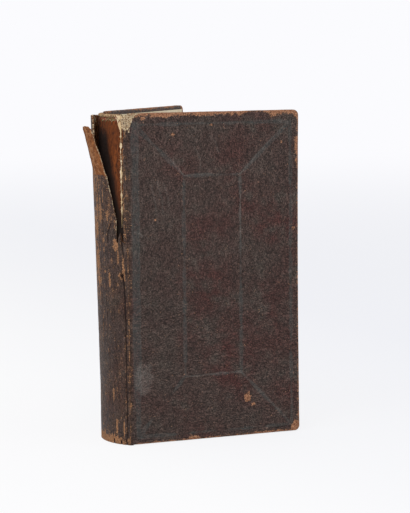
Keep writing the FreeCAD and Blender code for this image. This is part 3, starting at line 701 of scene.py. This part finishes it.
def spinePatch(lowY, highY, lowZ, highZ, columns, rows, tongue=False):
    # lowY, highY: functions of height; highZ: function of the share across
    u, v = unitGrid(columns, rows)
    z = lowZ + v * (highZ(u) - lowZ)
    y = lowY(z) + u * (highY(z) - lowY(z))
    relief = spineRelief(y, z)
    base = np.minimum(z, spine["bend"]) if tongue else z
    # the leather is thinned towards the tear
    edgeway = np.minimum(np.abs(y - tornEdge(z)), 3.0)
    thickness = book["leather"] * np.where(z > spine["whole"], 0.55 + 0.45 * smoothStep(0.0, 2.2, edgeway), 1.0)
    outer, inner = spineSurface(y, base, relief), spineSurface(y, base, np.maximum(thickness, relief + 0.25))
    if tongue:
        away = np.maximum(0.0, z - spine["bend"])
        curl = 0.35 * noise(y, z * 0.5, 6.0, 340, 2) * smoothStep(0, 8, away)
        for layer in (outer, inner):
            layer[..., 0] -= spine["tongueSlope"] * away - curl
            layer[..., 2] = z
    return outer.reshape(-1, 3), inner.reshape(-1, 3), spineFields(y, z), gridFaces(columns, rows, True)


def buildSpineLeather():
    step, start, end = spine["step"], spine["start"], book["thickness"] - spine["start"]
    foot, whole, bend = spine["tearFoot"], spine["whole"], spine["bend"]
    lowRows, midRows = int(whole / step) + 1, int((bend - whole) / step) + 1
    highRows = int((spine["rearTop"] - bend) / step) + 1
    narrow, middle, rear = 12, 40, 44

    def stubTop(u):
        # a torn tooth stands in the foot of the slot
        ragged = (0.5 + 2.2 * noise(u * 5, 0 * u, 0.9, 350, 2)) * np.sin(np.pi * u)
        return whole + ragged + 4.6 * np.exp(-((u - 0.66) / 0.15) ** 2)

    def tongueTop(u):
        drop = np.interp(u, (0, 0.25, 0.6, 0.85, 1), (1.6, 0.4, 0.2, 0.6, 1.9))
        return spine["tongueTop"] - drop + 0.35 * noise(u * 9, 0 * u, 1.0, 351, 2)

    def rearTop(u):
        return spine["rearTop"] - 0.35 - 1.1 * smoothStep(-0.2, 0.5, noise(u * 20, 0 * u, 2.4, 352, 2))

    def steady(value):
        return lambda w: value + 0 * w

    split = steady(spine["tongueEdge"])
    patches = [spinePatch(*patch) for patch in (
        (steady(start), steady(foot), 0.0, stubTop, narrow, lowRows),
        (steady(foot), split, 0.0, steady(whole), middle, lowRows),
        (tornEdge, split, whole, steady(bend), middle, midRows),
        (tornEdge, split, bend, tongueTop, middle, int((spine["tongueTop"] - bend) / step), True),
        (split, steady(end), 0.0, steady(whole), rear, lowRows),
        (split, steady(end), whole, steady(bend), rear, midRows),
        (split, steady(end), bend, rearTop, rear, highRows))]
    points, faces, fields = thickSheet(patches)
    inside = fields.pop("inside")
    # the flesh side is suede all over; above the whole part of the spine it is painted darker, painted shade behind
    # the loosened skin
    fields["suede"] = np.maximum(fields["suede"], inside)
    fields["wear"] = fields["wear"] * (1 - inside)
    fields["dark"] = np.where(inside > 0.5, 0.45 * (points[:, 2] > whole), fields["dark"])
    return meshObject("spine skin", points, faces, spineLeather, "block", fields)


spineSkin = buildSpineLeather()
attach(spineSkin, "text_block")
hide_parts("spine_leather")
print("spine leather:", len(spineSkin.data.polygons), "faces")


def jointStrip(name, side, lowZ, highZ, seed):
    # one skin from the spine over the joint to the board, on the closed book
    start, joint = spine["start"], book["joint"]
    columns, rows = 11, int((highZ - lowZ) / 0.6) + 1
    u, v = unitGrid(columns, rows)
    z = lowZ + v * (highZ - lowZ)
    edge = spineSurface(start + 0 * z, z, 0.0)
    relief = 0.12 * (1 + noise(u * 2.5, z, 2.2, seed, 2)) * np.sin(np.pi * u)
    boardRelief = coverRelief(joint + 0 * z, z, coverSeeds[side])
    x = (1 - u) ** 2 * edge[..., 0] + u ** 2 * joint
    y = (1 - u) ** 2 * edge[..., 1] + relief + u ** 2 * boardRelief
    spineDepth = spineRelief(start + 0 * z, z) * (1 - u) ** 3
    x, y = x + 0.7 * spineDepth, y + 0.7 * spineDepth
    # the inward normal turns from the slope of the spine to the face of the cover
    slope = np.arctan2(edge[..., 1], -edge[..., 0]) * (1 - u)
    thickness = 0.8
    outer = np.stack([x, y, z], -1)
    inner = np.stack([np.minimum(x + thickness * np.sin(slope), joint), y + thickness * np.cos(slope), z], -1)
    if side == "back":
        # the back cover lies open: the strip is bent by its share of the angle
        angle = -(1 - smoothStep(0.0, 1.0, u)) * backOpenAngle
        c, s = np.cos(angle), np.sin(angle)
        for layer in (outer, inner):
            lx, ly = layer[..., 0].copy(), -layer[..., 1].copy()
            layer[..., 0], layer[..., 1] = lx * c - ly * s, -(lx * s + ly * c)
    arc = u * 2.0                # the strip is about 2 mm wide
    worn = 0.1 + 0.5 * noise(arc, z * 0.3, 1.6, seed + 1, 3)
    worn = worn + 0.30 * (1 - smoothStep(98, 108, z)) * (1 - smoothStep(0.2, 0.75, u))
    bare = 0 * z
    if side == "front":
        bare = smoothStep(161.0, 162.6, z + 1.6 * u + 0.9 * noise(u * 2, z, 1.6, seed + 3, 2))
        bare = bare * (1 - 0.75 * smoothStep(0.1, 0.45, noise(u * 2, z, 1.0, seed + 5, 2)))
    path = 0.45 + 0.4 * noise(z, 0 * z, 8.0, seed + 4, 2)
    cracked = (1 - smoothStep(0.02, 0.16, np.abs(u - path))) * (0.75 - 0.4 * smoothStep(84, 92, z))
    cracked = cracked * smoothStep(-0.5, 0.2, noise(z, 0 * z, 6.0, seed + 2, 2))
    fields = leatherFields((arc, z, 0.0), wear=worn, pale=bare, dark=cracked)
    strip = sheetObject(name, (outer, inner), fields, columns, spineLeather, side, flip=False, flesh=True)
    ends = toRow([[-0.3, 0.3, 0.0], [joint, 0.3, 0.0]], side)
    if side == "back":
        ends[0] = toRow([[-0.3, book["thickness"] - 0.3, 0.0]])[0]
    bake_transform(strip)
    print(name, len(strip.data.polygons), "faces")


jointStrip("front joint leather", "front", 0.0, 169.2, 360)
jointStrip("back joint leather", "back", 0.0, 168.6, 370)


def buildStub():
    # torn leather still glued beside the joint, above the whole part of the spine
    rows, columns = 150, 12
    u, v = unitGrid(columns, rows)
    low, high = spine["whole"] - 0.9, spine["stubTop"] + 5.8
    z = low + v * (high - low) - 2.2 * u * smoothStep(0.9, 1.0, v)
    width = spine["stubWidth"] - 0.45 * smoothStep(145, 160, z) + 1.1 * smoothStep(160, 166, z)
    width = width - 0.35 * (1 + noise(z, 0 * z, 3.0, 380, 3))
    y = spine["start"] + u * (width - spine["start"])
    radius = 29.0
    turn = np.arcsin((y - book["thickness"] / 2) / radius)
    arc = y * 1.3
    relief = 0.12 * (1 + noise(arc, z * 0.5, 1.8, 381, 3)) + 0.25 * smoothStep(0.6, 1.0, u)
    layers = arcPlace(turn, radius - relief, z), arcPlace(turn, radius - 0.85, z)
    bare = smoothStep(160.4, 162.4, z + 1.5 * noise(arc, z, 1.8, 384, 3) - 2.5 * (u - 0.5))
    bare = bare * (1 - 0.75 * smoothStep(0.1, 0.45, noise(arc, z, 1.1, 385, 2)))
    lip = 0.6 * smoothStep(0.9, 1.0, u) * smoothStep(-0.2, 0.3, noise(z, 0 * z, 3.5, 386, 2))
    wear = 0.2 + 0.7 * noise(arc, z * 0.35, 1.3, 382, 3) + 0.15 * u
    dark = 0.5 * smoothStep(0.0, 0.5, noise(arc, z * 0.3, 2.0, 383, 2)) * (1 - bare)
    fields = leatherFields((arc, z, 0.0), wear=wear, pale=np.maximum(bare, lip), dark=dark)
    return sheetObject("torn leather beside the joint", layers, fields, columns, spineLeather)


stub = buildStub()
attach(stub, "text_block")


def buildTailTurnIn():
    # turn-in of the leather over the tail of the spine
    turn, radius = np.meshgrid(np.radians(np.linspace(-35, 35, 90)), np.linspace(25.9, 28.05, 6))
    arc = turn * 28.0 + 22.0
    low = 0.05 + 0.06 * (1 + noise(arc, radius * 3, 2.0, 390, 2))
    layers = arcPlace(turn, radius, low), arcPlace(turn, radius, 0 * low + 0.88)
    fields = leatherFields((arc, radius, 0.0), wear=0.75 + 0.4 * noise(arc, radius, 3.0, 391, 2))
    return sheetObject("tail turn-in of the spine", layers, fields, 90, spineLeather, flip=False)


tailTurnIn = buildTailTurnIn()
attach(tailTurnIn, "text_block")
print("stub and tail turn-in are in place")

lining = {"low": 1.0, "high": 169.0, "radius": 28.0, "thickness": 0.5, "openAngle": 41.0,
          "scrapRadius": 28.2}


def buildLining():
    columns, rows = 120, 260
    u, v = np.meshgrid(np.linspace(-1, 1, columns), np.linspace(0, 1, rows))
    turn = np.radians(lining["openAngle"] - 0.2) * u
    z = lining["low"] + v * (lining["high"] - lining["low"])
    radius = lining["radius"]
    arc = turn * radius
    # the head of the lining is frayed away and shows the wound band
    frayed = 2.6 + 1.5 * noise(arc, 0 * arc, 2.6, 401, 3) - 1.6 * smoothStep(-12.0, -19.0, arc)
    z = z - np.maximum(frayed, 0.2) * smoothStep(0.93, 1.0, v)
    rough = 0.16 * (1 + noise(arc, z * 0.5, 2.4, 402, 3)) + 0.08 * (1 + noise(arc, z, 0.9, 403, 1))
    layers = arcPlace(turn, radius - rough * 0.75, z), arcPlace(turn, radius - lining["thickness"], z)
    # painted shade darkens it away from the joint and down the slot, where the loosened skin shades it
    across = arc + 21.0
    soilAndShade = smoothStep(0.0, 1.0, (across - 1.5 - 0.27 * (z - 118.0)) / 4.0 + 0.3 * noise(arc, z * 0.4, 4.0, 404, 2))
    soilAndShade = np.maximum(soilAndShade, 1.05 * (1 - smoothStep(112, 130, z)))
    # the painted shade eases off towards the head
    flaked = smoothStep(158.0, 165.0, z + 2.0 * noise(arc, z, 2.0, 405, 2))
    soilAndShade = np.clip(0.94 * soilAndShade * (1 - 0.8 * flaked), 0, 0.98)
    return sheetObject("brown lining of the spine", layers, {"soilAndShade": soilAndShade.ravel()}, columns, gluedLining)


liningPiece = buildLining()
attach(liningPiece, "text_block")
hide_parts("spine_lining")


def buildScrap():
    # a strip of pale paper torn out of the lining, its edges ragged
    columns, rows = 10, 190
    u, v = unitGrid(columns, rows)
    z = 112.0 + 56.8 * v
    centre = 3.55 + 0.3 * noise(z, 0 * z, 9.0, 411, 2) + 0.22 * noise(z, 0 * z, 2.6, 415, 2)
    width = 1.15 * smoothStep(0.0, 0.3, v) * np.clip(0.4 + 1.5 * noise(z, 0 * z, 2.4, 412, 3), 0.05, 1.3) + 0.1
    width = width + 2.6 * smoothStep(0.84, 1.0, v)
    centre = centre + 0.9 * smoothStep(0.84, 1.0, v)
    y = centre + (u - 0.5) * width + 0.05 * noise(u * 4, z, 0.8, 413, 2)
    turn = np.arcsin((y - book["thickness"] / 2) / lining["scrapRadius"])
    lift = 0.16 * (1 + noise(u * 3, z, 2.0, 414, 2))
    layers = arcPlace(turn, 28.14 + lift * 0.6, z), arcPlace(turn, 28.02 + lift * 0.4, z)
    return sheetObject("torn strip of lining paper", layers, {}, columns, tornPaper)


scrap = buildScrap()
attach(scrap, "text_block")
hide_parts("lining_scrap")
print("lining and torn strip are in place")

block = {"front": 4.75, "back": 35.25, "low": 3.0, "high": 167.5, "fore": 91.5, "hollow": 4.0,
         "backRadius": 27.45, "rows": 122}


def stackedFaces(rows, count):
    # sides and ends of a solid made of rings of count points
    faces = []
    for r in range(rows - 1):
        for k in range(count):
            a, b = r * count + k, r * count + (k + 1) % count
            faces.append((b, a, a + count, b + count))
    return faces + [tuple(range(count)), tuple(range((rows - 1) * count, rows * count))[::-1]]


def buildTextBlock():
    # one outline for every few leaves: rounded back, hollow fore-edge, slightly uneven leaves
    rng = np.random.default_rng(7)
    rows = block["rows"]
    y = np.linspace(block["front"], block["back"], rows)
    away = y - book["thickness"] / 2
    half = away / ((block["back"] - block["front"]) / 2)
    left = book["backCentre"] - np.sqrt(block["backRadius"] ** 2 - away ** 2)
    right = block["fore"] - block["hollow"] * (1 - half ** 2) - np.abs(rng.normal(0, 0.09, rows))
    top = block["high"] - np.abs(rng.normal(0, 0.06, rows))
    low = block["low"] + np.abs(rng.normal(0, 0.06, rows))
    steps, ups = 40, 70
    outline = [(s, 0.0) for s in np.linspace(0, 1, steps, endpoint=False)]
    outline += [(1.0, s) for s in np.linspace(0, 1, ups, endpoint=False)]
    outline += [(s, 1.0) for s in np.linspace(1, 0, steps, endpoint=False)]
    outline += [(0.0, s) for s in np.linspace(1, 0, ups, endpoint=False)]
    across, up = np.array(outline).T[:, None, :]
    x = left[:, None] + across * (right - left)[:, None]
    z = low[:, None] + up * (top - low)[:, None]
    x = x + 0.14 * (noise(y[:, None] + 0 * up, z, 11.0, 421, 2) - 1) * (across > 0.99)
    points = np.stack([x, y[:, None] + 0 * x, z], -1).reshape(-1, 3)
    soilAndShade = (1 - smoothStep(0.5, 3.5, points[:, 0])) * (0.85 + 0.3 * noise(points[:, 1], points[:, 2], 1.6, 422, 2))
    return meshObject("leaves of the block", points, stackedFaces(rows, len(outline)), pageEdges, "block",
                      {"soilAndShade": np.clip(soilAndShade, 0, 1)}, sharp=70.0)


textBlock = buildTextBlock()
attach(textBlock, "text_block")
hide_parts("text_block")


def buildShoulder(name, side):
    # the leaves at the joint, bent over to a backing shoulder, and the paper that lines it
    rows = 60
    section = [(1.7, 4.72), (1.3, 4.4), (0.9, 3.4), (0.55, 2.2), (0.5, 1.35), (0.8, 1.5), (1.15, 3.0),
               (1.45, 4.3), (1.9, 4.9)]
    if side == "back":
        section = [(x, book["thickness"] - y) for x, y in section]
    points = np.array([(x, y, height) for height in np.linspace(3.2, 167.3, rows) for x, y in section])
    faces = stackedFaces(rows, len(section))
    if side == "back":
        faces = [face[::-1] for face in faces]
    return meshObject(name, points, faces, endPaper, "block")


def paperSheet(name, side, low, high, seed, body, node):
    # a leaf of rag paper, gently cockled; low and high are (x, y, z) of its box on the closed book
    columns, rows = 60, 96
    u, v = unitGrid(columns, rows)
    x, z = low[0] + u * (high[0] - low[0]), low[2] + v * (high[2] - low[2])
    x = x - 0.12 * (1 + noise(z, 0 * z, 7.0, seed, 3)) * smoothStep(0.97, 1.0, u)
    nearEnd = np.sign(v - 0.5) * smoothStep(0.96, 1.0, np.abs(2 * v - 1))
    z = z - 0.10 * (1 + noise(x, 0 * x, 7.0, seed + 1, 3)) * nearEnd
    room = high[1] - low[1]
    lift = room * 0.3 * (1 + noise(x, z, 24.0, seed + 2, 2))
    layers = np.stack([x, low[1] + lift * 0.8, z], -1), np.stack([x, high[1] - room * 0.25 + lift * 0.3, z], -1)
    sheet = sheetObject(name + " sheet", layers, {}, columns, endPaper, side, flip=False)
    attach(sheet, body)
    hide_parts(node)


for side, body in (("front", "front_cover"), ("back", "back_cover")):
    paperSheet(side + " pastedown", side, (1.62, 3.85, 2.2), (92.8, 4.22, 167.8), 430, body, side + "_pastedown")
paperSheet("front free endleaf", "front", (1.6, 4.5, 3.0), (91.4, 4.74, 167.5), 440, "text_block", "front_endleaf")
paperSheet("back free endleaf", "front", (1.6, 35.26, 3.0), (91.4, 35.5, 167.5), 450, "text_block", "back_endleaf")
for side in ("front", "back"):
    shoulder = buildShoulder(side + " shoulder of the leaves", side)
    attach(shoulder, "text_block")
print("text block and endpapers are in place")

endband = {"radius": 26.95, "openAngle": 35.0, "width": 0.85, "height": 0.95, "pitch": 0.42, "thread": 0.24}


def threadMaterial(name):
    # silk and linen thread, faded red, cream and olive green by turns, soiled
    material, tree, shader = newMaterial(name)
    turn = addNode(tree, "ShaderNodeAttribute", None, "Fac", attribute_name="turn")
    place = addNode(tree, "ShaderNodeTexCoord", None, "Object")
    dirt = addNode(tree, "ShaderNodeTexNoise", {"Vector": place, "Scale": 420.0, "Detail": 3.0})
    colour = hexColour("#cdb88f")
    for low, code in ((0.4, "#7d7a4c"), (0.7, "#94402f")):
        step = addNode(tree, "ShaderNodeMath", {0: turn, 1: low}, operation="GREATER_THAN")
        colour = addNode(tree, "ShaderNodeMix", {0: step, 6: colour, 7: hexColour(code)}, 2, data_type="RGBA")
    soiled = addNode(tree, "ShaderNodeMapRange", {"Value": dirt, "From Min": 0.45, "From Max": 0.7, "To Max": 0.7})
    colour = addNode(tree, "ShaderNodeMix", {0: soiled, 6: colour, 7: hexColour("#4c3524")}, 2, data_type="RGBA")
    tree.links.new(colour, shader.inputs["Base Color"])
    shader.inputs["Roughness"].default_value = 0.8
    return material


threadFinish = threadMaterial("silk and linen thread, faded")


def pathTree(name, sockets, form, finish):
    # a tree that sets a small form at even steps along a path; form gives the form, its turn, its
    # size and the share that picks its colour
    tree = bpy.data.node_groups.new(name, "GeometryNodeTree")
    tree.interface.new_socket("Geometry", in_out="INPUT", socket_type="NodeSocketGeometry")
    for label, kind in sockets:
        tree.interface.new_socket(label, in_out="INPUT", socket_type="NodeSocket" + kind)
    tree.interface.new_socket("Geometry", in_out="OUTPUT", socket_type="NodeSocketGeometry")
    given = addNode(tree, "NodeGroupInput").node.outputs
    path = addNode(tree, "GeometryNodeMeshToCurve", {"Mesh": given["Geometry"]})
    spaced = addNode(tree, "GeometryNodeCurveToPoints", {"Curve": path, "Length": given["Spacing"]}, "Points",
                     mode="LENGTH")
    instance, turn, size, share = form(tree, given, spaced)
    placed = addNode(tree, "GeometryNodeInstanceOnPoints", {
        "Points": spaced, "Instance": instance, "Rotation": turn, "Scale": size})
    placed = addNode(tree, "GeometryNodeStoreNamedAttribute", {"Geometry": placed, "Name": "turn", "Value": share},
                     data_type="FLOAT", domain="INSTANCE")
    real = addNode(tree, "GeometryNodeRealizeInstances", {"Geometry": placed})
    done = addNode(tree, "GeometryNodeSetMaterial", {"Geometry": real, "Material": finish})
    addNode(tree, "NodeGroupOutput", {"Geometry": done})
    return tree


def windingForm(tree, given, spaced):
    # one turn of thread round the core, across the path, coloured by its number
    loop = addNode(tree, "GeometryNodeCurvePrimitiveCircle", {"Resolution": 14, "Radius": 1.0})
    size = addNode(tree, "ShaderNodeCombineXYZ", {"X": given["Height"], "Y": given["Width"], "Z": 1.0})
    loop = addNode(tree, "GeometryNodeTransform", {"Geometry": loop, "Scale": size})
    section = addNode(tree, "GeometryNodeCurvePrimitiveCircle", {"Resolution": 6, "Radius": given["Thread"]})
    ring = addNode(tree, "GeometryNodeCurveToMesh", {"Curve": loop, "Profile Curve": section})
    number = addNode(tree, "GeometryNodeInputIndex")
    third = addNode(tree, "ShaderNodeMath", {0: number, 1: 3.0}, operation="MODULO")
    third = addNode(tree, "ShaderNodeMath", {0: third, 1: 2.4}, operation="DIVIDE")
    return ring, spaced.node.outputs["Rotation"], (1.0, 1.0, 1.0), third


def runTree(name, points, tree, inputs):
    # a path through the points, dressed by the tree and turned into a plain mesh
    name = name.replace(" ", "_")
    mesh = bpy.data.meshes.new(name + " path")
    mesh.from_pydata(toRow(points).tolist(), [(i, i + 1) for i in range(len(points) - 1)], [])
    guide = newObject(name + " path", mesh)
    modifier = guide.modifiers.new("dress", "NODES")
    modifier.node_group = tree
    for item in tree.interface.items_tree:
        if item.in_out == "INPUT" and item.name in inputs:
            modifier[item.identifier] = inputs[item.name]
    evaluated = guide.evaluated_get(bpy.context.evaluated_depsgraph_get())
    result = bpy.data.meshes.new_from_object(evaluated)
    result.name = name
    bpy.data.objects.remove(guide)
    return newObject(name, result)


winding = pathTree("thread winding", (("Spacing", "Float"), ("Width", "Float"), ("Height", "Float"),
                                      ("Thread", "Float")), windingForm, threadFinish)
for name, height, node in (("head band", 168.5, "head_band"), ("tail band", 2.0, "tail_band")):
    turns = np.radians(np.linspace(-endband["openAngle"], endband["openAngle"], 60))
    wound = runTree(name + " threads", arcPlace(turns, endband["radius"], height + 0 * turns), winding, {
        "Spacing": endband["pitch"] / 1000, "Width": (endband["width"] - 0.2) / 1000,
        "Height": (endband["height"] - 0.2) / 1000, "Thread": endband["thread"] / 1000})
    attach(wound, "text_block")
    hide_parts(node)
    print(name, len(wound.data.polygons), "faces")


def fibreForm(tree, given, spaced):
    # a short bent fibre, scattered along a torn edge
    end = addNode(tree, "ShaderNodeCombineXYZ", {"X": given["Length"]})
    middle = addNode(tree, "ShaderNodeVectorMath", {0: end, 1: (0.55, 0.0, 0.0)}, operation="MULTIPLY")
    lifted = addNode(tree, "ShaderNodeVectorMath", {0: middle, 1: (0.0, 0.0003, 0.0002)}, operation="ADD")
    hair = addNode(tree, "GeometryNodeCurveQuadraticBezier", {
        "Resolution": 5, "Start": (0, 0, 0), "Middle": lifted, "End": end})
    section = addNode(tree, "GeometryNodeCurvePrimitiveCircle", {"Resolution": 4, "Radius": given["Fibre"]})
    hair = addNode(tree, "GeometryNodeCurveToMesh", {"Curve": hair, "Profile Curve": section, "Fill Caps": True})
    turn = addNode(tree, "FunctionNodeRandomValue", {
        0: (-0.9, -1.1, 1.2), 1: (0.9, 1.1, 4.6), "Seed": given["Seed"]}, data_type="FLOAT_VECTOR")
    size, share = [addNode(tree, "FunctionNodeRandomValue", {2: low, 3: 1.0, "Seed": given["Seed"]}, 1,
                           data_type="FLOAT") for low in (0.35, 0.0)]
    return hair, turn, size, share


fibreSockets = ("Spacing", "Float"), ("Length", "Float"), ("Fibre", "Float"), ("Seed", "Int")
fraying, threadFraying = [pathTree("frayed fibres", fibreSockets, fibreForm, finish)
                          for finish in (tornPaper, threadFinish)]
heights = np.linspace(118, 167, 60)
turnAt = np.arcsin((3.5 - book["thickness"] / 2) / lining["scrapRadius"])
edgePath = arcPlace(turnAt + 0.01 * noise(heights, 0 * heights, 4.0, 460, 2), lining["scrapRadius"] - 0.1, heights)
fibres = runTree("paper fibres at the joint", edgePath, fraying,
                 {"Spacing": 0.0005, "Length": 0.0013, "Fibre": 0.00006, "Seed": 5})
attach(fibres, "text_block")
turns = np.radians(np.linspace(-36, -8, 60))
headPath = arcPlace(turns, lining["radius"], 166.6 + 0.9 * noise(turns * 28, 0 * turns, 2.0, 470, 2))
threadEnds = runTree("thread ends of the head band", headPath, threadFraying,
                     {"Spacing": 0.00022, "Length": 0.0019, "Fibre": 0.00016, "Seed": 8})
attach(threadEnds, "text_block")
print("fibres:", len(fibres.data.polygons) + len(threadEnds.data.polygons), "faces")

studio = {"distance": 957.0, "height": 204.9, "pitch": 6.4, "turn": 21.32, "lean": -0.55,
          "shift": -37.95, "lens": 1900.0 / 513.0 * 36.0, "world": 0.34, "backdrop": "#fbfbfe",
          "floorReach": 6000.0, "floorHeight": -0.0002}


def rotation(axis, degrees):
    return Matrix.Rotation(math.radians(degrees), 3, axis)


bookTurn = rotation("Y", studio["lean"]) @ rotation("Z", studio["turn"])
toBook = bookTurn.transposed()
offset = Vector(frontPivot.tolist())


def studioPoint(x, y, z):
    # a place in the studio, mm, as a place in the row frame, metres
    return (toBook @ (Vector((x, y, z)) - Vector((studio["shift"], 0, 0))) + offset) / 1000.0


def aimedObject(name, data, position, target):
    # faces the target with its -z axis
    forward = (target - position).normalized()
    side = forward.cross(Vector((0, 0, 1))).normalized()
    turn = Matrix((side, side.cross(forward), -forward)).transposed()
    newObject(name, data).matrix_world = Matrix.Translation(position) @ turn.to_4x4()


camera = bpy.data.cameras.new("camera")
camera.lens, camera.sensor_width, camera.sensor_height = studio["lens"], 36.0, 36.0
camera.sensor_fit = "AUTO"
camera.clip_start, camera.clip_end = 0.01, 20.0
cameraObject = newObject("camera", camera)
pitch = math.radians(studio["pitch"])
axes = [toBook @ Vector(v) for v in ((1, 0, 0), (0, math.sin(pitch), math.cos(pitch)),
                                     (0, -math.cos(pitch), math.sin(pitch)))]
cameraObject.matrix_world = Matrix.Translation(studioPoint(0, -studio["distance"], studio["height"])) @ Matrix(
    axes).transposed().to_4x4()
bpy.context.scene.camera = cameraObject


def seenRays(tree):
    # 1 for rays from the camera, mirrored or refracted: they see the pale backdrop
    path = addNode(tree, "ShaderNodeLightPath").node.outputs
    seen = path["Is Camera Ray"]
    for ray in ("Is Glossy Ray", "Is Transmission Ray"):
        seen = addNode(tree, "ShaderNodeMath", {0: seen, 1: path[ray]}, operation="MAXIMUM")
    return seen


# a wide pale floor; far from the book it fades into the white behind it
floorPoints = [studioPoint(0, 0, 0)]
floorPoints += [studioPoint(studio["floorReach"] * math.cos(t), studio["floorReach"] * math.sin(t), 0)
                for t in np.radians(np.arange(0, 360, 6))]
floorPoints = [(p.x, p.y, studio["floorHeight"]) for p in floorPoints]
floorMesh = bpy.data.meshes.new("studio floor")
floorMesh.from_pydata(floorPoints, [], [(0, k, k % 60 + 1) for k in range(1, 61)])
floor = newObject("studio_floor", floorMesh)
floorPaper = bpy.data.materials.new("white studio paper")
floorPaper.use_nodes = True
tree = floorPaper.node_tree
tree.nodes.clear()
where = addNode(tree, "ShaderNodeTexCoord", None, "Object")
far = addNode(tree, "ShaderNodeMapRange", {
    "Value": addNode(tree, "ShaderNodeVectorMath", {0: where}, 1, operation="LENGTH"),
    "From Min": 0.2, "From Max": 2.6}, interpolation_type="SMOOTHSTEP")
# the glow is painted paler on the left and greyer on the right, a painted shade across the floor
across = addNode(tree, "ShaderNodeMapRange", {
    "Value": addNode(tree, "ShaderNodeSeparateXYZ", {0: where}), "From Min": -0.05, "From Max": 0.25})
near = addNode(tree, "ShaderNodeMix", {0: across, 6: hexColour("#fefeff"), 7: hexColour("#f4f5fa")}, 2,
               data_type="RGBA")
shown = addNode(tree, "ShaderNodeMix", {0: far, 6: near, 7: hexColour(studio["backdrop"])}, 2, data_type="RGBA")
glow = addNode(tree, "ShaderNodeEmission", {"Color": shown, "Strength": 1.0})
matt = addNode(tree, "ShaderNodeBsdfDiffuse", {"Color": hexColour("#f4f4f6")})
share = addNode(tree, "ShaderNodeMapRange", {"Value": far, "To Min": 0.86, "To Max": 1.0})
share = addNode(tree, "ShaderNodeMath", {0: seenRays(tree), 1: share}, operation="MULTIPLY")
mixed = addNode(tree, "ShaderNodeMixShader", {0: share, 1: matt, 2: glow})
addNode(tree, "ShaderNodeOutputMaterial", {"Surface": mixed})
floorMesh.materials.append(floorPaper)

world = bpy.data.worlds.new("soft studio")
bpy.context.scene.world = world
world.use_nodes = True
tree = world.node_tree
tree.nodes.clear()
ambient = addNode(tree, "ShaderNodeBackground", {"Color": (1, 1, 1, 1), "Strength": studio["world"]})
white = addNode(tree, "ShaderNodeBackground", {"Color": hexColour(studio["backdrop"]), "Strength": 1.0})
mixed = addNode(tree, "ShaderNodeMixShader", {0: seenRays(tree), 1: ambient, 2: white})
addNode(tree, "ShaderNodeOutputWorld", {"Surface": mixed})

lamps = (("key softbox", (-260, -900, 760), (0, 0, 90), 0.9, 6.2),
         ("left softbox", (-900, -250, 420), (-20, 0, 80), 0.7, 2.2),
         ("right softbox", (950, -500, 500), (20, 0, 80), 0.8, 1.8),
         ("top softbox", (0, 150, 1150), (0, 0, 100), 1.0, 3.6))
for name, position, target, size, power in lamps:
    light = bpy.data.lights.new(name, "AREA")
    light.shape, light.size, light.energy = "SQUARE", size, power
    aimedObject(name, light, studioPoint(*position), studioPoint(*target))
bpy.context.scene.view_settings.view_transform = "Standard"
print("floor, light and camera are set")
